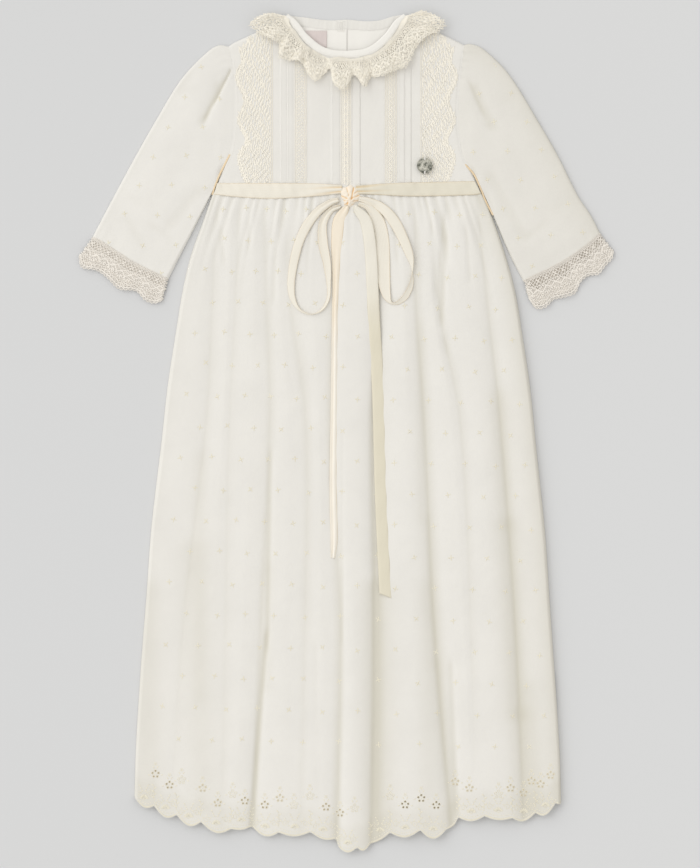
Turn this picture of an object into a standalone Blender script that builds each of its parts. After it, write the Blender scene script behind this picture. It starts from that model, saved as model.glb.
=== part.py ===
"""Christening gown laid flat: back panels on the surface, front panels, lace and ribbon on them.

Every table is in millimetres. x runs to the picture's right from the centre front, drop runs from
the gown's top edge down to the hem, and heights run up from the surface that the gown lies on.
"""
import math
from collections import namedtuple

import bmesh
import bpy
from mathutils import Vector
from mathutils.bvhtree import BVHTree

MM = 0.001
GOWN_LENGTH = 840.0
SEAM_GAP = 0.3
SIDE_SEAM_GAP = 0.7
NECK_GAP = 0.5

CLOTH_WALL = 1.2
FOLD_WALL = 1.2
LACE_WALL = 1.0
RIBBON_WALL = 1.0
BINDING_WALL = 2.2
LABEL_WALL = 0.6

# Heights of the layers, each on the one below it
ABOVE_ALL = 100.0
BACK_TOP = CLOTH_WALL
FRONT_LOW = BACK_TOP + SEAM_GAP + CLOTH_WALL
BODICE_TOP = 4.2
SLEEVE_TOP = 4.2
EDGE_HEIGHT = 0.75
EDGE_ROLL = 5.0
BACK_INSET = 3.6
BACK_HEM_INSET = 2.0
BACK_SHOULDER_INSET = 4.4
SLEEVE_INSET = 5.8
UNDERARM_INSET = 4.2

WAIST_DROP = 178.6
WAIST_HALF_GAP = 0.15

RIBBON_WIDTH = 12.0
TUCK_RISE = 0.9
TUCK_STEP = 0.6
MEDAL_DIAMETER = 15.5
MEDAL_THICKNESS = 1.6
MEDAL_HOLE = 1.6
MEDAL_HOLE_INSET = 2.2
KNOT_ROUNDING = 2.6

Level = namedtuple("Level", "drop left right")
SKIRT_SIDES = (
    Level(178.0, -132.5, 134.0),
    Level(209.5, -142.3, 146.2),
    Level(250.5, -155.7, 159.4),
    Level(290.5, -164.2, 169.2),
    Level(331.5, -170.3, 175.4),
    Level(392.5, -178.8, 183.7),
    Level(454.5, -185.1, 189.5),
    Level(544.5, -194.9, 198.3),
    Level(621.5, -200.1, 203.1),
    Level(698.5, -205.6, 208.0),
    Level(784.5, -210.5, 213.1),
    Level(840.0, -212.0, 214.5),
)
BODICE_SIDES = (
    Level(35.0, -117.5, 117.0),
    Level(58.5, -112.9, 114.6),
    Level(78.5, -111.2, 112.4),
    Level(98.5, -110.5, 110.6),
    Level(115.5, -111.5, 110.9),
    Level(138.5, -114.9, 114.2),
    Level(151.5, -119.5, 119.2),
    Level(163.5, -125.6, 126.2),
    Level(178.6, -132.5, 134.6),
)

# The bottom edge: where each scallop begins, and how far it bellies down before the next
Scallop = namedtuple("Scallop", "x drop belly")
HEM = (
    Scallop(-212.0, 784.5, 6.0),
    Scallop(-192.0, 793.5, 7.0),
    Scallop(-169.5, 802.5, 7.5),
    Scallop(-145.1, 809.5, 7.5),
    Scallop(-115.0, 816.5, 2.0),
    Scallop(-94.5, 814.5, 6.7),
    Scallop(-67.5, 820.0, 4.3),
    Scallop(-35.8, 819.5, 4.0),
    Scallop(-10.6, 826.5, 0.0),
    Scallop(-8.0, 835.0, 5.0),
    Scallop(10.5, 835.0, 5.0),
    Scallop(24.0, 831.5, 2.0),
    Scallop(43.5, 820.1, 6.0),
    Scallop(73.5, 817.5, 9.0),
    Scallop(99.9, 816.9, 1.0),
    Scallop(108.5, 811.9, 0.0),
    Scallop(111.5, 805.0, 4.5),
    Scallop(137.5, 803.5, 3.0),
    Scallop(165.3, 805.5, 6.0),
    Scallop(188.5, 800.5, 7.0),
    Scallop(208.5, 790.5, 1.0),
    Scallop(216.0, 791.0, 0.0),
)

# Skirt folds: a valley's x at five levels, its depth at three, and the width of its two flanks
FOLD_LEVELS = (188.5, 288.5, 408.5, 613.5, 840.0)
DEPTH_LEVELS = (188.5, 408.5, 840.0)
Fold = namedtuple("Fold", "waist upper middle lower hem deep_waist deep_middle deep_hem left right")
SKIRT_FOLDS = (
    Fold(-128.5, -133.5, -139.5, -162.5, -176.5, 1.5, 1.5, 0.3, 9.0, 15.0),
    Fold(-106.5, -110.5, -116.5, -120.5, -124.5, 1.6, 0.9, 0.5, 8.0, 14.0),
    Fold(-82.5, -79.5, -76.5, -85.5, -94.5, 1.6, 1.6, 2.6, 9.0, 12.0),
    Fold(-62.5, -56.5, -40.5, -41.5, -46.5, 1.4, 1.5, 0.5, 10.0, 15.0),
    Fold(-9.5, -12.5, -16.5, -6.5, -10.5, 1.4, 1.6, 2.4, 12.0, 7.0),
    Fold(29.5, 31.5, 25.5, 28.5, 26.0, 3.0, 3.6, 3.9, 8.0, 17.0),
    Fold(68.5, 69.5, 77.5, 87.5, 107.0, 1.8, 3.0, 3.3, 8.0, 17.0),
    Fold(99.5, 92.5, 113.5, 124.0, 128.0, 3.2, 1.4, 0.4, 7.0, 12.0),
    Fold(130.5, 140.5, 153.5, 168.5, 178.5, 2.2, 3.2, 2.8, 8.0, 15.0),
)
CROWN_LEFT = 3.2
CROWN_RIGHT = 4.5
CROWN_CHANGE_FROM = -60.0
CROWN_CHANGE_OVER = 110.0
CROWN_MOST = 4.6
RELIEF_LEAST = 0.05
WAIST_RELIEF = 1.2
WAIST_RISE_LENGTH = 34.0
GATHERS = 20
GATHER_DEPTH = 0.95
GATHER_LENGTH = 46.0
GATHER_SWELL_LENGTH = 16.0
UNEVEN_DEPTHS = 17.0
UNEVEN_LENGTHS = 29.0

# A sewn tuck: the line that it is stitched along and its free edge
Tuck = namedtuple("Tuck", "stitched free")
TUCKS = (
    Tuck(-59.6, -65.5),
    Tuck(-53.5, -59.0),
    Tuck(-6.5, -14.5),
    Tuck(5.5, 13.5),
    Tuck(52.5, 58.0),
    Tuck(58.6, 64.5),
)

# Plan outlines, as points along smooth curves
Mark = namedtuple("Mark", "x drop")
SHOULDER_LEFT = (Mark(-117.5, 35.0), Mark(-113.0, 31.6), Mark(-90.7, 21.2), Mark(-61.2, 5.7))
SHOULDER_RIGHT = (Mark(59.8, 5.5), Mark(95.7, 22.9), Mark(112.0, 30.8), Mark(117.0, 33.6))
NECK_SEAM = (
    Mark(-61.0, 5.6),
    Mark(-51.7, 18.3),
    Mark(-40.2, 32.7),
    Mark(-25.3, 42.6),
    Mark(-0.5, 47.1),
    Mark(24.5, 42.6),
    Mark(39.5, 32.7),
    Mark(50.5, 18.5),
    Mark(59.6, 5.4),
)
NECK_EDGE = (
    Mark(-58.0, 3.4),
    Mark(-49.6, 10.0),
    Mark(-38.4, 24.0),
    Mark(-21.5, 36.6),
    Mark(-0.5, 39.8),
    Mark(21.0, 36.6),
    Mark(37.4, 24.0),
    Mark(48.0, 10.0),
    Mark(56.6, 3.2),
)
BACK_NECK = (
    Mark(-57.0, 4.6),
    Mark(-40.5, 6.3),
    Mark(-28.7, 8.0),
    Mark(-13.8, 9.2),
    Mark(0.5, 8.4),
    Mark(20.5, 10.0),
    Mark(34.5, 8.8),
    Mark(46.0, 5.2),
    Mark(56.0, 3.6),
)
BACK_BAND_DEPTH = 9.5
BAND_CROWN = 0.35
PLACKET_EDGE = 1.0
PLACKET_OVERLAP = 10.0
PLACKET_RISE_MARGIN = 5.5
PLACKET_RISE_LENGTH = 4.0

SLEEVE_LEFT = {
    "armhole": (
        Mark(-117.9, 35.0),
        Mark(-113.3, 58.5),
        Mark(-110.9, 98.5),
        Mark(-115.2, 138.5),
        Mark(-120.0, 151.8),
        Mark(-126.1, 163.5),
        Mark(-132.5, 177.6),
    ),
    "outer": (
        Mark(-117.9, 35.0),
        Mark(-127.5, 33.8),
        Mark(-138.5, 40.0),
        Mark(-165.0, 67.5),
        Mark(-190.0, 108.0),
        Mark(-213.0, 148.5),
        Mark(-234.5, 188.5),
        Mark(-249.0, 216.0),
        Mark(-254.1, 226.1),
    ),
    "inner": (
        Mark(-132.5, 177.6),
        Mark(-153.5, 219.5),
        Mark(-168.1, 247.9),
        Mark(-178.0, 268.0),
    ),
    "cuff": (
        Mark(-254.1, 226.1),
        Mark(-244.5, 230.9),
        Mark(-211.7, 251.5),
        Mark(-178.0, 268.0),
    ),
    "lace": (
        Mark(-267.0, 244.0),
        Mark(-264.5, 255.5),
        Mark(-250.0, 258.5),
        Mark(-239.5, 265.5),
        Mark(-227.5, 277.0),
        Mark(-210.0, 279.5),
        Mark(-200.5, 289.0),
        Mark(-191.5, 291.5),
        Mark(-183.5, 288.5),
    ),
}
SLEEVE_RIGHT = {
    "armhole": (
        Mark(117.4, 33.6),
        Mark(114.9, 58.5),
        Mark(110.9, 98.5),
        Mark(114.6, 138.5),
        Mark(119.7, 151.8),
        Mark(126.8, 163.5),
        Mark(134.8, 177.6),
    ),
    "outer": (
        Mark(117.4, 33.6),
        Mark(123.8, 32.5),
        Mark(136.5, 37.5),
        Mark(162.0, 62.5),
        Mark(190.2, 107.5),
        Mark(211.2, 144.0),
        Mark(231.5, 184.5),
        Mark(244.9, 204.8),
        Mark(253.5, 222.0),
    ),
    "inner": (
        Mark(134.8, 177.6),
        Mark(143.6, 197.5),
        Mark(163.4, 244.0),
        Mark(176.6, 269.8),
    ),
    "cuff": (
        Mark(253.5, 222.0),
        Mark(239.2, 234.5),
        Mark(212.4, 252.5),
        Mark(176.6, 269.8),
    ),
    "lace": (
        Mark(266.5, 239.0),
        Mark(265.0, 247.0),
        Mark(258.0, 254.5),
        Mark(251.5, 262.5),
        Mark(241.5, 264.0),
        Mark(233.5, 270.5),
        Mark(228.0, 281.5),
        Mark(217.5, 285.5),
        Mark(206.5, 288.0),
        Mark(198.5, 295.5),
        Mark(189.5, 296.5),
        Mark(182.0, 286.5),
    ),
}
SLEEVE_PUFF = 1.0
CUFF_WAVE = 0.7
CUFF_WAVES = 5
CUFF_RIM_RISE = 0.9
CUFF_BACK_DEPTH = 0.94

# Soft creases of a sleeve: a line, its depth and its width; a depth below nothing is a ridge
CREASE_END = 18.0
Crease = namedtuple("Crease", "x_from drop_from x_to drop_to deep wide")
SLEEVE_CREASES = (
    Crease(-122.0, 60.0, -148.0, 122.0, 1.2, 6.0),
    Crease(-138.0, 168.0, -186.0, 226.0, 0.8, 9.0),
    Crease(-150.0, 80.0, -212.0, 190.0, -0.6, 14.0),
    Crease(122.0, 62.0, 150.0, 128.0, 1.0, 7.0),
    Crease(136.0, 152.0, 182.0, 236.0, 0.9, 9.0),
    Crease(158.0, 88.0, 214.0, 196.0, -0.6, 14.0),
)

Ruffled = namedtuple("Ruffled", "x_neck drop_neck x_rim drop_rim lift")
NECK_RUFFLE = (
    Ruffled(-61.8, 4.9, -72.5, 3.4, 1.0),
    Ruffled(-61.9, 7.0, -83.5, 5.2, 4.0),
    Ruffled(-61.5, 9.2, -95.5, 13.5, 3.0),
    Ruffled(-60.2, 12.4, -86.0, 22.5, 1.0),
    Ruffled(-58.2, 15.6, -75.0, 28.5, 4.5),
    Ruffled(-55.4, 19.3, -66.5, 33.5, 1.0),
    Ruffled(-52.4, 23.3, -66.5, 45.5, 4.5),
    Ruffled(-48.4, 28.4, -56.5, 49.5, 1.5),
    Ruffled(-44.2, 33.0, -47.5, 50.0, 4.5),
    Ruffled(-40.0, 37.0, -43.0, 53.5, 1.0),
    Ruffled(-34.5, 41.2, -38.0, 63.5, 3.5),
    Ruffled(-28.8, 44.6, -30.5, 70.5, 5.5),
    Ruffled(-22.4, 47.1, -21.5, 62.5, 1.5),
    Ruffled(-17.0, 48.6, -16.0, 57.5, 1.0),
    Ruffled(-11.8, 49.4, -13.0, 71.5, 5.0),
    Ruffled(-5.6, 50.0, -5.0, 79.0, 6.0),
    Ruffled(0.5, 50.1, 2.5, 71.5, 4.0),
    Ruffled(5.6, 50.0, 5.5, 64.5, 1.0),
    Ruffled(10.8, 49.7, 11.0, 66.5, 2.5),
    Ruffled(15.9, 48.9, 15.0, 73.0, 4.5),
    Ruffled(20.2, 47.9, 19.5, 75.5, 5.0),
    Ruffled(24.6, 46.3, 24.0, 66.5, 1.0),
    Ruffled(29.9, 43.9, 31.5, 66.0, 3.5),
    Ruffled(35.0, 40.9, 43.5, 61.5, 4.5),
    Ruffled(40.1, 36.8, 51.0, 58.5, 1.5),
    Ruffled(45.1, 31.4, 60.0, 55.0, 5.0),
    Ruffled(49.2, 26.2, 67.0, 40.5, 1.5),
    Ruffled(52.4, 21.6, 73.0, 31.5, 3.5),
    Ruffled(55.4, 17.1, 82.0, 24.5, 4.5),
    Ruffled(57.7, 13.6, 92.5, 20.0, 1.5),
    Ruffled(59.5, 10.4, 97.3, 12.5, 4.0),
    Ruffled(60.6, 7.4, 86.5, 4.5, 1.5),
    Ruffled(60.9, 4.6, 73.5, 0.5, 2.0),
)
RUFFLE_REACH = 3.6
RUFFLE_QUICK_LIFT = 1.15

Panel = namedtuple("Panel", "drop edge")
LACE_PANEL_INNER = 73.5
LACE_PANEL_TOP_INSET = 4.8
LACE_PANEL_REACH = 1.5
LACE_PANEL_EDGE = (
    Panel(30.0, 98.0),
    Panel(38.0, 106.5),
    Panel(49.5, 104.5),
    Panel(66.5, 111.0),
    Panel(88.5, 102.5),
    Panel(110.5, 108.3),
    Panel(130.5, 100.5),
    Panel(146.0, 108.5),
    Panel(171.2, 101.5),
)
INSERTIONS = (
    ("insertion_left", -51.8, -39.8),
    ("insertion_centre", -6.0, 4.8),
    ("insertion_right", 38.2, 50.2),
)
INSERTION_TOP_INSET = 1.2
STRIP_GAP = 0.5

Strip = namedtuple("Strip", "x top bottom")
BELT_LEFT = (
    Strip(-131.6, 172.2, 183.4),
    Strip(-112.0, 172.1, 185.8),
    Strip(-74.7, 172.2, 187.8),
    Strip(-32.5, 172.5, 185.4),
    Strip(-7.4, 174.0, 182.6),
)
BELT_RIGHT = (
    Strip(12.4, 174.6, 183.0),
    Strip(34.0, 172.8, 184.0),
    Strip(63.1, 171.6, 185.4),
    Strip(126.2, 170.2, 184.0),
    Strip(133.4, 170.4, 182.6),
)

BELT_REACH = 3.5
BELT_GAP = 0.5

# Ribbon of the bow: the middle line, the width in use, the tilt in degrees and the height added
Ribbon = namedtuple("Ribbon", "x drop wide tilt lift")
TAIL_LEFT = (
    Ribbon(1.0, 195.0, 4.5, 0.0, 1.5),
    Ribbon(-2.0, 200.0, 8.0, 0.0, 1.0),
    Ribbon(-7.6, 210.0, 11.5, 6.0, 0.2),
    Ribbon(-9.4, 226.0, 11.5, 14.0, 0.0),
    Ribbon(-10.4, 248.0, 9.0, 30.0, 0.0),
    Ribbon(-10.6, 272.0, 7.0, 48.0, 0.0),
    Ribbon(-12.0, 300.0, 6.0, 52.0, 0.0),
    Ribbon(-13.0, 388.0, 6.5, 46.0, 0.0),
    Ribbon(-14.4, 470.0, 7.0, 38.0, 0.0),
    Ribbon(-13.0, 528.0, 7.0, 36.0, 0.0),
    Ribbon(-13.8, 546.5, 4.5, 36.0, 0.0),
)
TAIL_RIGHT = (
    Ribbon(8.0, 195.0, 4.5, 0.0, 1.5),
    Ribbon(12.0, 200.5, 8.5, 0.0, 0.8),
    Ribbon(18.6, 209.0, 11.5, 0.0, 0.2),
    Ribbon(22.6, 226.0, 12.0, 0.0, 0.0),
    Ribbon(24.8, 250.0, 12.0, 0.0, 0.0),
    Ribbon(27.0, 300.0, 12.0, 0.0, 0.0),
    Ribbon(31.2, 372.5, 12.0, 0.0, 0.0),
    Ribbon(34.5, 488.5, 12.0, 0.0, 0.0),
    Ribbon(38.9, 584.0, 12.0, 0.0, 0.0),
)
TAIL_CUT = 5.5
LOOP_LEFT = (
    Ribbon(-7.6, 189.0, 4.5, 0.0, 2.0),
    Ribbon(-15.5, 191.5, 6.5, 10.0, 1.5),
    Ribbon(-29.5, 201.5, 9.0, 22.0, 0.8),
    Ribbon(-43.5, 221.5, 11.5, 38.0, 0.0),
    Ribbon(-51.0, 243.5, 12.0, 44.0, 0.0),
    Ribbon(-55.0, 266.5, 12.0, 50.0, 0.0),
    Ribbon(-54.5, 285.5, 12.0, 62.0, 0.0),
    Ribbon(-47.5, 298.5, 12.0, 78.0, 0.0),
    Ribbon(-35.5, 303.5, 12.0, 88.0, 0.0),
    Ribbon(-24.5, 299.0, 12.0, 98.0, 0.0),
    Ribbon(-18.0, 287.0, 12.0, 104.0, 0.0),
    Ribbon(-17.5, 270.0, 12.0, 112.0, 0.0),
    Ribbon(-19.6, 250.5, 11.5, 134.0, 0.0),
    Ribbon(-23.5, 230.0, 10.5, 154.0, 0.0),
    Ribbon(-23.2, 212.0, 8.0, 170.0, 0.4),
    Ribbon(-15.5, 199.5, 5.5, 180.0, 1.2),
    Ribbon(-5.6, 195.2, 3.6, 180.0, 1.6),
)
LOOP_RIGHT = (
    Ribbon(12.2, 187.8, 4.0, 0.0, 2.0),
    Ribbon(21.0, 190.0, 6.5, 8.0, 1.6),
    Ribbon(34.5, 196.5, 9.5, 16.0, 1.0),
    Ribbon(46.0, 208.5, 11.5, 24.0, 0.4),
    Ribbon(55.5, 226.0, 12.0, 34.0, 0.0),
    Ribbon(62.5, 243.5, 12.0, 52.0, 0.0),
    Ribbon(65.5, 257.0, 12.0, 82.0, 0.0),
    Ribbon(65.0, 271.0, 12.0, 108.0, 0.0),
    Ribbon(59.5, 284.0, 12.0, 118.0, 0.0),
    Ribbon(51.5, 291.5, 12.0, 106.0, 0.0),
    Ribbon(44.8, 292.0, 12.0, 98.0, 0.0),
    Ribbon(40.6, 285.5, 12.0, 100.0, 0.0),
    Ribbon(39.0, 270.0, 12.0, 128.0, 0.3),
    Ribbon(39.0, 248.5, 12.0, 154.0, 0.5),
    Ribbon(37.5, 227.0, 11.5, 166.0, 0.6),
    Ribbon(32.2, 209.0, 8.0, 174.0, 0.8),
    Ribbon(22.5, 196.5, 5.0, 180.0, 1.4),
    Ribbon(12.4, 192.6, 3.4, 180.0, 1.8),
)
KNOT_SIZE = (17.4, 20.4, 6.4)
KNOT_AT = (2.4, 183.4)
MEDAL_AT = (78.0, 154.9)
LABEL_AT = (-31.0, 27.8)
LABEL_SIZE = (23.0, 17.0)

MATERIALS = {
    "cotton": ((0.86, 0.84, 0.79), 0.9, 0.0),
    "lace": ((0.80, 0.74, 0.64), 0.95, 0.0),
    "ribbon": ((0.85, 0.78, 0.66), 0.6, 0.0),
    "metal": ((0.55, 0.57, 0.60), 0.3, 1.0),
    "label": ((0.72, 0.66, 0.66), 0.8, 0.0),
}


def mix(low, high, share):
    return low + (high - low) * share


def ease(share):
    held = min(max(share, 0.0), 1.0)
    return held * held * (3.0 - 2.0 * held)


def hermite(keys, values, key):
    """Value at a key, on a smooth curve through the given keys and values."""
    key = min(max(key, keys[0]), keys[-1])
    cell = 0
    while cell < len(keys) - 2 and key > keys[cell + 1]:
        cell += 1
    span = keys[cell + 1] - keys[cell]

    def slope(at):
        before = max(at - 1, 0)
        after = min(at + 1, len(keys) - 1)
        return (values[after] - values[before]) / (keys[after] - keys[before])

    share = (key - keys[cell]) / span
    start = values[cell]
    end = values[cell + 1]
    square = share * share
    cube = square * share
    return (
        (2 * cube - 3 * square + 1) * start
        + (cube - 2 * square + share) * span * slope(cell)
        + (3 * square - 2 * cube) * end
        + (cube - square) * span * slope(cell + 1)
    )


def column(table, name):
    return [getattr(row, name) for row in table]


def read(table, key_name, key, name):
    """One named column of a table, read at a key."""
    return hermite(column(table, key_name), column(table, name), key)


def chords(marks):
    """Share of the whole length at which each point of a curve lies."""
    lengths = [0.0]
    for one, two in zip(marks, marks[1:]):
        lengths.append(lengths[-1] + math.hypot(two.x - one.x, two.drop - one.drop))
    return [length / lengths[-1] for length in lengths]


def along(marks, share):
    """Point at a share of the length of a smooth curve."""
    keys = chords(marks)
    return (
        hermite(keys, column(marks, "x"), share),
        hermite(keys, column(marks, "drop"), share),
    )


def rounded(distance, reach=EDGE_ROLL):
    """Share of full height at a distance in from an edge that rolls down."""
    inward = min(max(distance / reach, 0.0), 1.0)
    return math.sqrt(1.0 - (1.0 - inward) ** 2)


def to_world(x, drop, height):
    return Vector((x * MM, (GOWN_LENGTH / 2 - drop) * MM, height * MM))


def start_scene():
    for item in list(bpy.data.objects):
        bpy.data.objects.remove(item, do_unlink=True)
    gown = bpy.data.collections.new("christening_gown")
    bpy.context.scene.collection.children.link(gown)
    cutters = bpy.data.collections.new("cutters")
    bpy.context.scene.collection.children.link(cutters)
    return gown, cutters


def make_material(name):
    colour, roughness, metallic = MATERIALS[name]
    material = bpy.data.materials.new(name)
    material.use_nodes = True
    shader = material.node_tree.nodes["Principled BSDF"]
    shader.inputs["Base Color"].default_value = (*colour, 1.0)
    shader.inputs["Roughness"].default_value = roughness
    shader.inputs["Metallic"].default_value = metallic
    return material


def finish_object(item, gown, material):
    gown.objects.link(item)
    item.data.materials.append(material)
    return item


def make_sheet(name, across, down, place, gown, material, wall=CLOTH_WALL, grow=-1.0):
    """A grid of cloth set by place(column, row), which gives x, drop, height and extra wall."""
    form = bmesh.new()
    bmesh.ops.create_grid(form, x_segments=across, y_segments=down, size=1.0)
    extra = {}
    for vertex in form.verts:
        i = round((vertex.co.x + 1.0) / 2.0 * across)
        j = round((1.0 - vertex.co.y) / 2.0 * down)
        x, drop, height, more = place(i, j)
        vertex.co = to_world(x, drop, height)
        extra[vertex.index] = more
    form.normal_update()
    if sum(face.normal.z for face in form.faces) < 0:
        bmesh.ops.reverse_faces(form, faces=form.faces)
    mesh = bpy.data.meshes.new(name)
    form.to_mesh(mesh)
    form.free()
    item = finish_object(bpy.data.objects.new(name, mesh), gown, material)
    thickest = wall + max(extra.values())
    solid = item.modifiers.new("wall", "SOLIDIFY")
    solid.thickness = thickest * MM
    solid.offset = grow
    if thickest > wall:
        group = item.vertex_groups.new(name="wall")
        for index, more in extra.items():
            group.add([index], (wall + more) / thickest, "REPLACE")
        solid.vertex_group = group.name
    return item


RINGS = 3
RING_STEPS = 8


class Ground:
    """Top of the pieces made so far, for what is laid on them."""

    def __init__(self, items):
        bpy.context.view_layer.update()
        depsgraph = bpy.context.evaluated_depsgraph_get()
        self.trees = [BVHTree.FromObject(item, depsgraph) for item in items]

    def at(self, x, drop):
        start = to_world(x, drop, ABOVE_ALL)
        heights = [0.0]
        for tree in self.trees:
            hit = tree.ray_cast(start, Vector((0.0, 0.0, -1.0)))
            if hit[0] is not None:
                heights.append(hit[0].z / MM)
        return max(heights)

    def around(self, x, drop, reach):
        heights = [self.at(x, drop)]
        for step in range(RINGS * RING_STEPS):
            turn = 2.0 * math.pi * step / RING_STEPS
            out = reach * (1 + step // RING_STEPS) / RINGS
            heights.append(self.at(x + out * math.cos(turn), drop + out * math.sin(turn)))
        return max(heights)


# Skirt


def hem_drop(x):
    cell = 0
    while cell < len(HEM) - 2 and x > HEM[cell + 1].x:
        cell += 1
    start, end = HEM[cell], HEM[cell + 1]
    share = min(max((x - start.x) / (end.x - start.x), 0.0), 1.0)
    return mix(start.drop, end.drop, share) + start.belly * math.sin(math.pi * share)


def fold_depth(x, drop):
    """How far the skirt's folds lower it at a point."""
    deepest = 0.0
    for fold in SKIRT_FOLDS:
        line = hermite(FOLD_LEVELS, fold[:5], drop)
        deep = hermite(DEPTH_LEVELS, fold[5:8], drop)
        wide = fold.left if x < line else fold.right
        deepest = max(deepest, deep * math.exp(-((x - line) / wide) ** 2))
    return deepest


def gather_height(share, drop):
    """Small gathers that fan out from the waist seam and fade, each with its own length."""
    turn = 2.0 * math.pi * GATHERS * share
    uneven = 0.75 + 0.25 * math.sin(UNEVEN_DEPTHS * share + 1.0)
    length = GATHER_LENGTH * (0.8 + 0.4 * math.sin(UNEVEN_LENGTHS * share) ** 2)
    below = max(drop - WAIST_DROP, 0.0)
    swell = 0.45 + 0.55 * ease(below / GATHER_SWELL_LENGTH)
    fade = math.exp(-((below / length) ** 2))
    return GATHER_DEPTH * uneven * swell * fade * math.cos(turn)


def skirt_relief(share, x, drop):
    crown = mix(CROWN_LEFT, CROWN_RIGHT, ease((x - CROWN_CHANGE_FROM) / CROWN_CHANGE_OVER))
    relief = crown - fold_depth(x, drop)
    rise = ease((drop - WAIST_DROP) / WAIST_RISE_LENGTH)
    relief = mix(WAIST_RELIEF, relief, rise) + gather_height(share, drop)
    return min(max(relief, RELIEF_LEAST), CROWN_MOST)


SKIRT_EDGE_STEPS = (0.0, 0.5, 1.8, 4.2)
SKIRT_COLUMNS = 86
SKIRT_ROWS_UPPER = (0.0, 0.01, 0.024, 0.045, 0.075, 0.12, 0.18, 0.27)
SKIRT_ROWS = SKIRT_ROWS_UPPER + (0.38, 0.51, 0.64, 0.77, 0.88, 0.955, 1.0)
SKIRT_BACK_COLUMNS = 12
SKIRT_BACK_ROWS = 8


def side_columns(count, steps, low=0.03):
    """Columns as (share, millimetres): close together at both edges, even between."""
    inner = [(mix(low, 1.0 - low, i / count), 0.0) for i in range(count + 1)]
    return [(0.0, step) for step in steps] + inner + [(1.0, -step) for step in reversed(steps)]


def make_skirt(gown, material):
    columns = side_columns(SKIRT_COLUMNS - 2 * len(SKIRT_EDGE_STEPS), SKIRT_EDGE_STEPS)
    top = WAIST_DROP + WAIST_HALF_GAP

    def place(i, j):
        share, step = columns[i]
        level = SKIRT_ROWS[j]
        side = mix(top, GOWN_LENGTH, level)
        left = read(SKIRT_SIDES, "drop", side, "left")
        right = read(SKIRT_SIDES, "drop", side, "right")
        x = mix(left, right, share) + step
        hem_x = mix(SKIRT_SIDES[-1].left, SKIRT_SIDES[-1].right, share) + step
        drop = mix(top, hem_drop(hem_x), level)
        relief = skirt_relief((x - left) / (right - left), x, drop)
        full = FRONT_LOW + relief
        edge = rounded(min(x - left, right - x))
        return x, drop, mix(EDGE_HEIGHT, full, edge), FOLD_WALL * relief / CROWN_MOST * edge

    front = make_sheet("skirt_front", len(columns) - 1, len(SKIRT_ROWS) - 1, place, gown, material)

    def place_back(i, j):
        level = j / SKIRT_BACK_ROWS
        side = mix(top, GOWN_LENGTH, level)
        left = read(SKIRT_SIDES, "drop", side, "left") + BACK_INSET
        right = read(SKIRT_SIDES, "drop", side, "right") - BACK_INSET
        share = i / SKIRT_BACK_COLUMNS
        hem_x = mix(SKIRT_SIDES[-1].left, SKIRT_SIDES[-1].right, share)
        hem = read(HEM, "x", hem_x, "drop") - BACK_HEM_INSET
        return mix(left, right, share), mix(top, hem, level), BACK_TOP, 0.0

    make_sheet("skirt_back", SKIRT_BACK_COLUMNS, SKIRT_BACK_ROWS, place_back, gown, material)
    return front


# Bodice


def top_edge(x):
    """Drop of the bodice's upper edge: shoulder, neck seam, shoulder."""
    if x < NECK_SEAM[0].x:
        return read(SHOULDER_LEFT, "x", x, "drop")
    if x > NECK_SEAM[-1].x:
        return read(SHOULDER_RIGHT, "x", x, "drop")
    near = 0.5
    fall = read(NECK_SEAM, "x", x + near, "drop") - read(NECK_SEAM, "x", x - near, "drop")
    return read(NECK_SEAM, "x", x, "drop") + NECK_GAP * math.hypot(1.0, fall / (2 * near))


def tuck_rise(x):
    rise = 0.0
    for tuck in TUCKS:
        share = (x - tuck.stitched) / (tuck.free - tuck.stitched)
        if -0.001 <= share <= 1.001:
            rise = max(rise, TUCK_RISE * mix(0.15, 1.0, share))
    return rise


PLAIN_COLUMNS = (-87.0, -76.0, -49.0, -43.0, -35.0, -25.0, -0.5, 25.0, 34.0, 42.0, 48.0, 76.0, 88.0)


def bodice_columns():
    """x of each column at the waist, with one each side of every tuck's free edge."""
    outward = [tuck.free + math.copysign(TUCK_STEP, tuck.free - tuck.stitched) for tuck in TUCKS]
    lines = [tuck.stitched for tuck in TUCKS] + [tuck.free for tuck in TUCKS] + outward
    return sorted(set(round(line, 2) for line in lines + list(PLAIN_COLUMNS)))


BODICE_MIDDLE = 76.0
BODICE_TOP_STEPS = (0.0, 0.6, 2.0, 4.6)
BODICE_ROWS = (0.1, 0.22, 0.38, 0.55, 0.7, 0.84, 0.94, 1.0)
SIDE_STEPS = (SIDE_SEAM_GAP, 1.2, 2.8, 5.6)
WIDE_SIDE_STEPS = (18.0, 32.0)
WAIST_SIDE = 57.0
UNDERARM_DROP = 152.0
SHOULDER_START = 57.5
SHOULDER_EASE = 4.5


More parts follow.
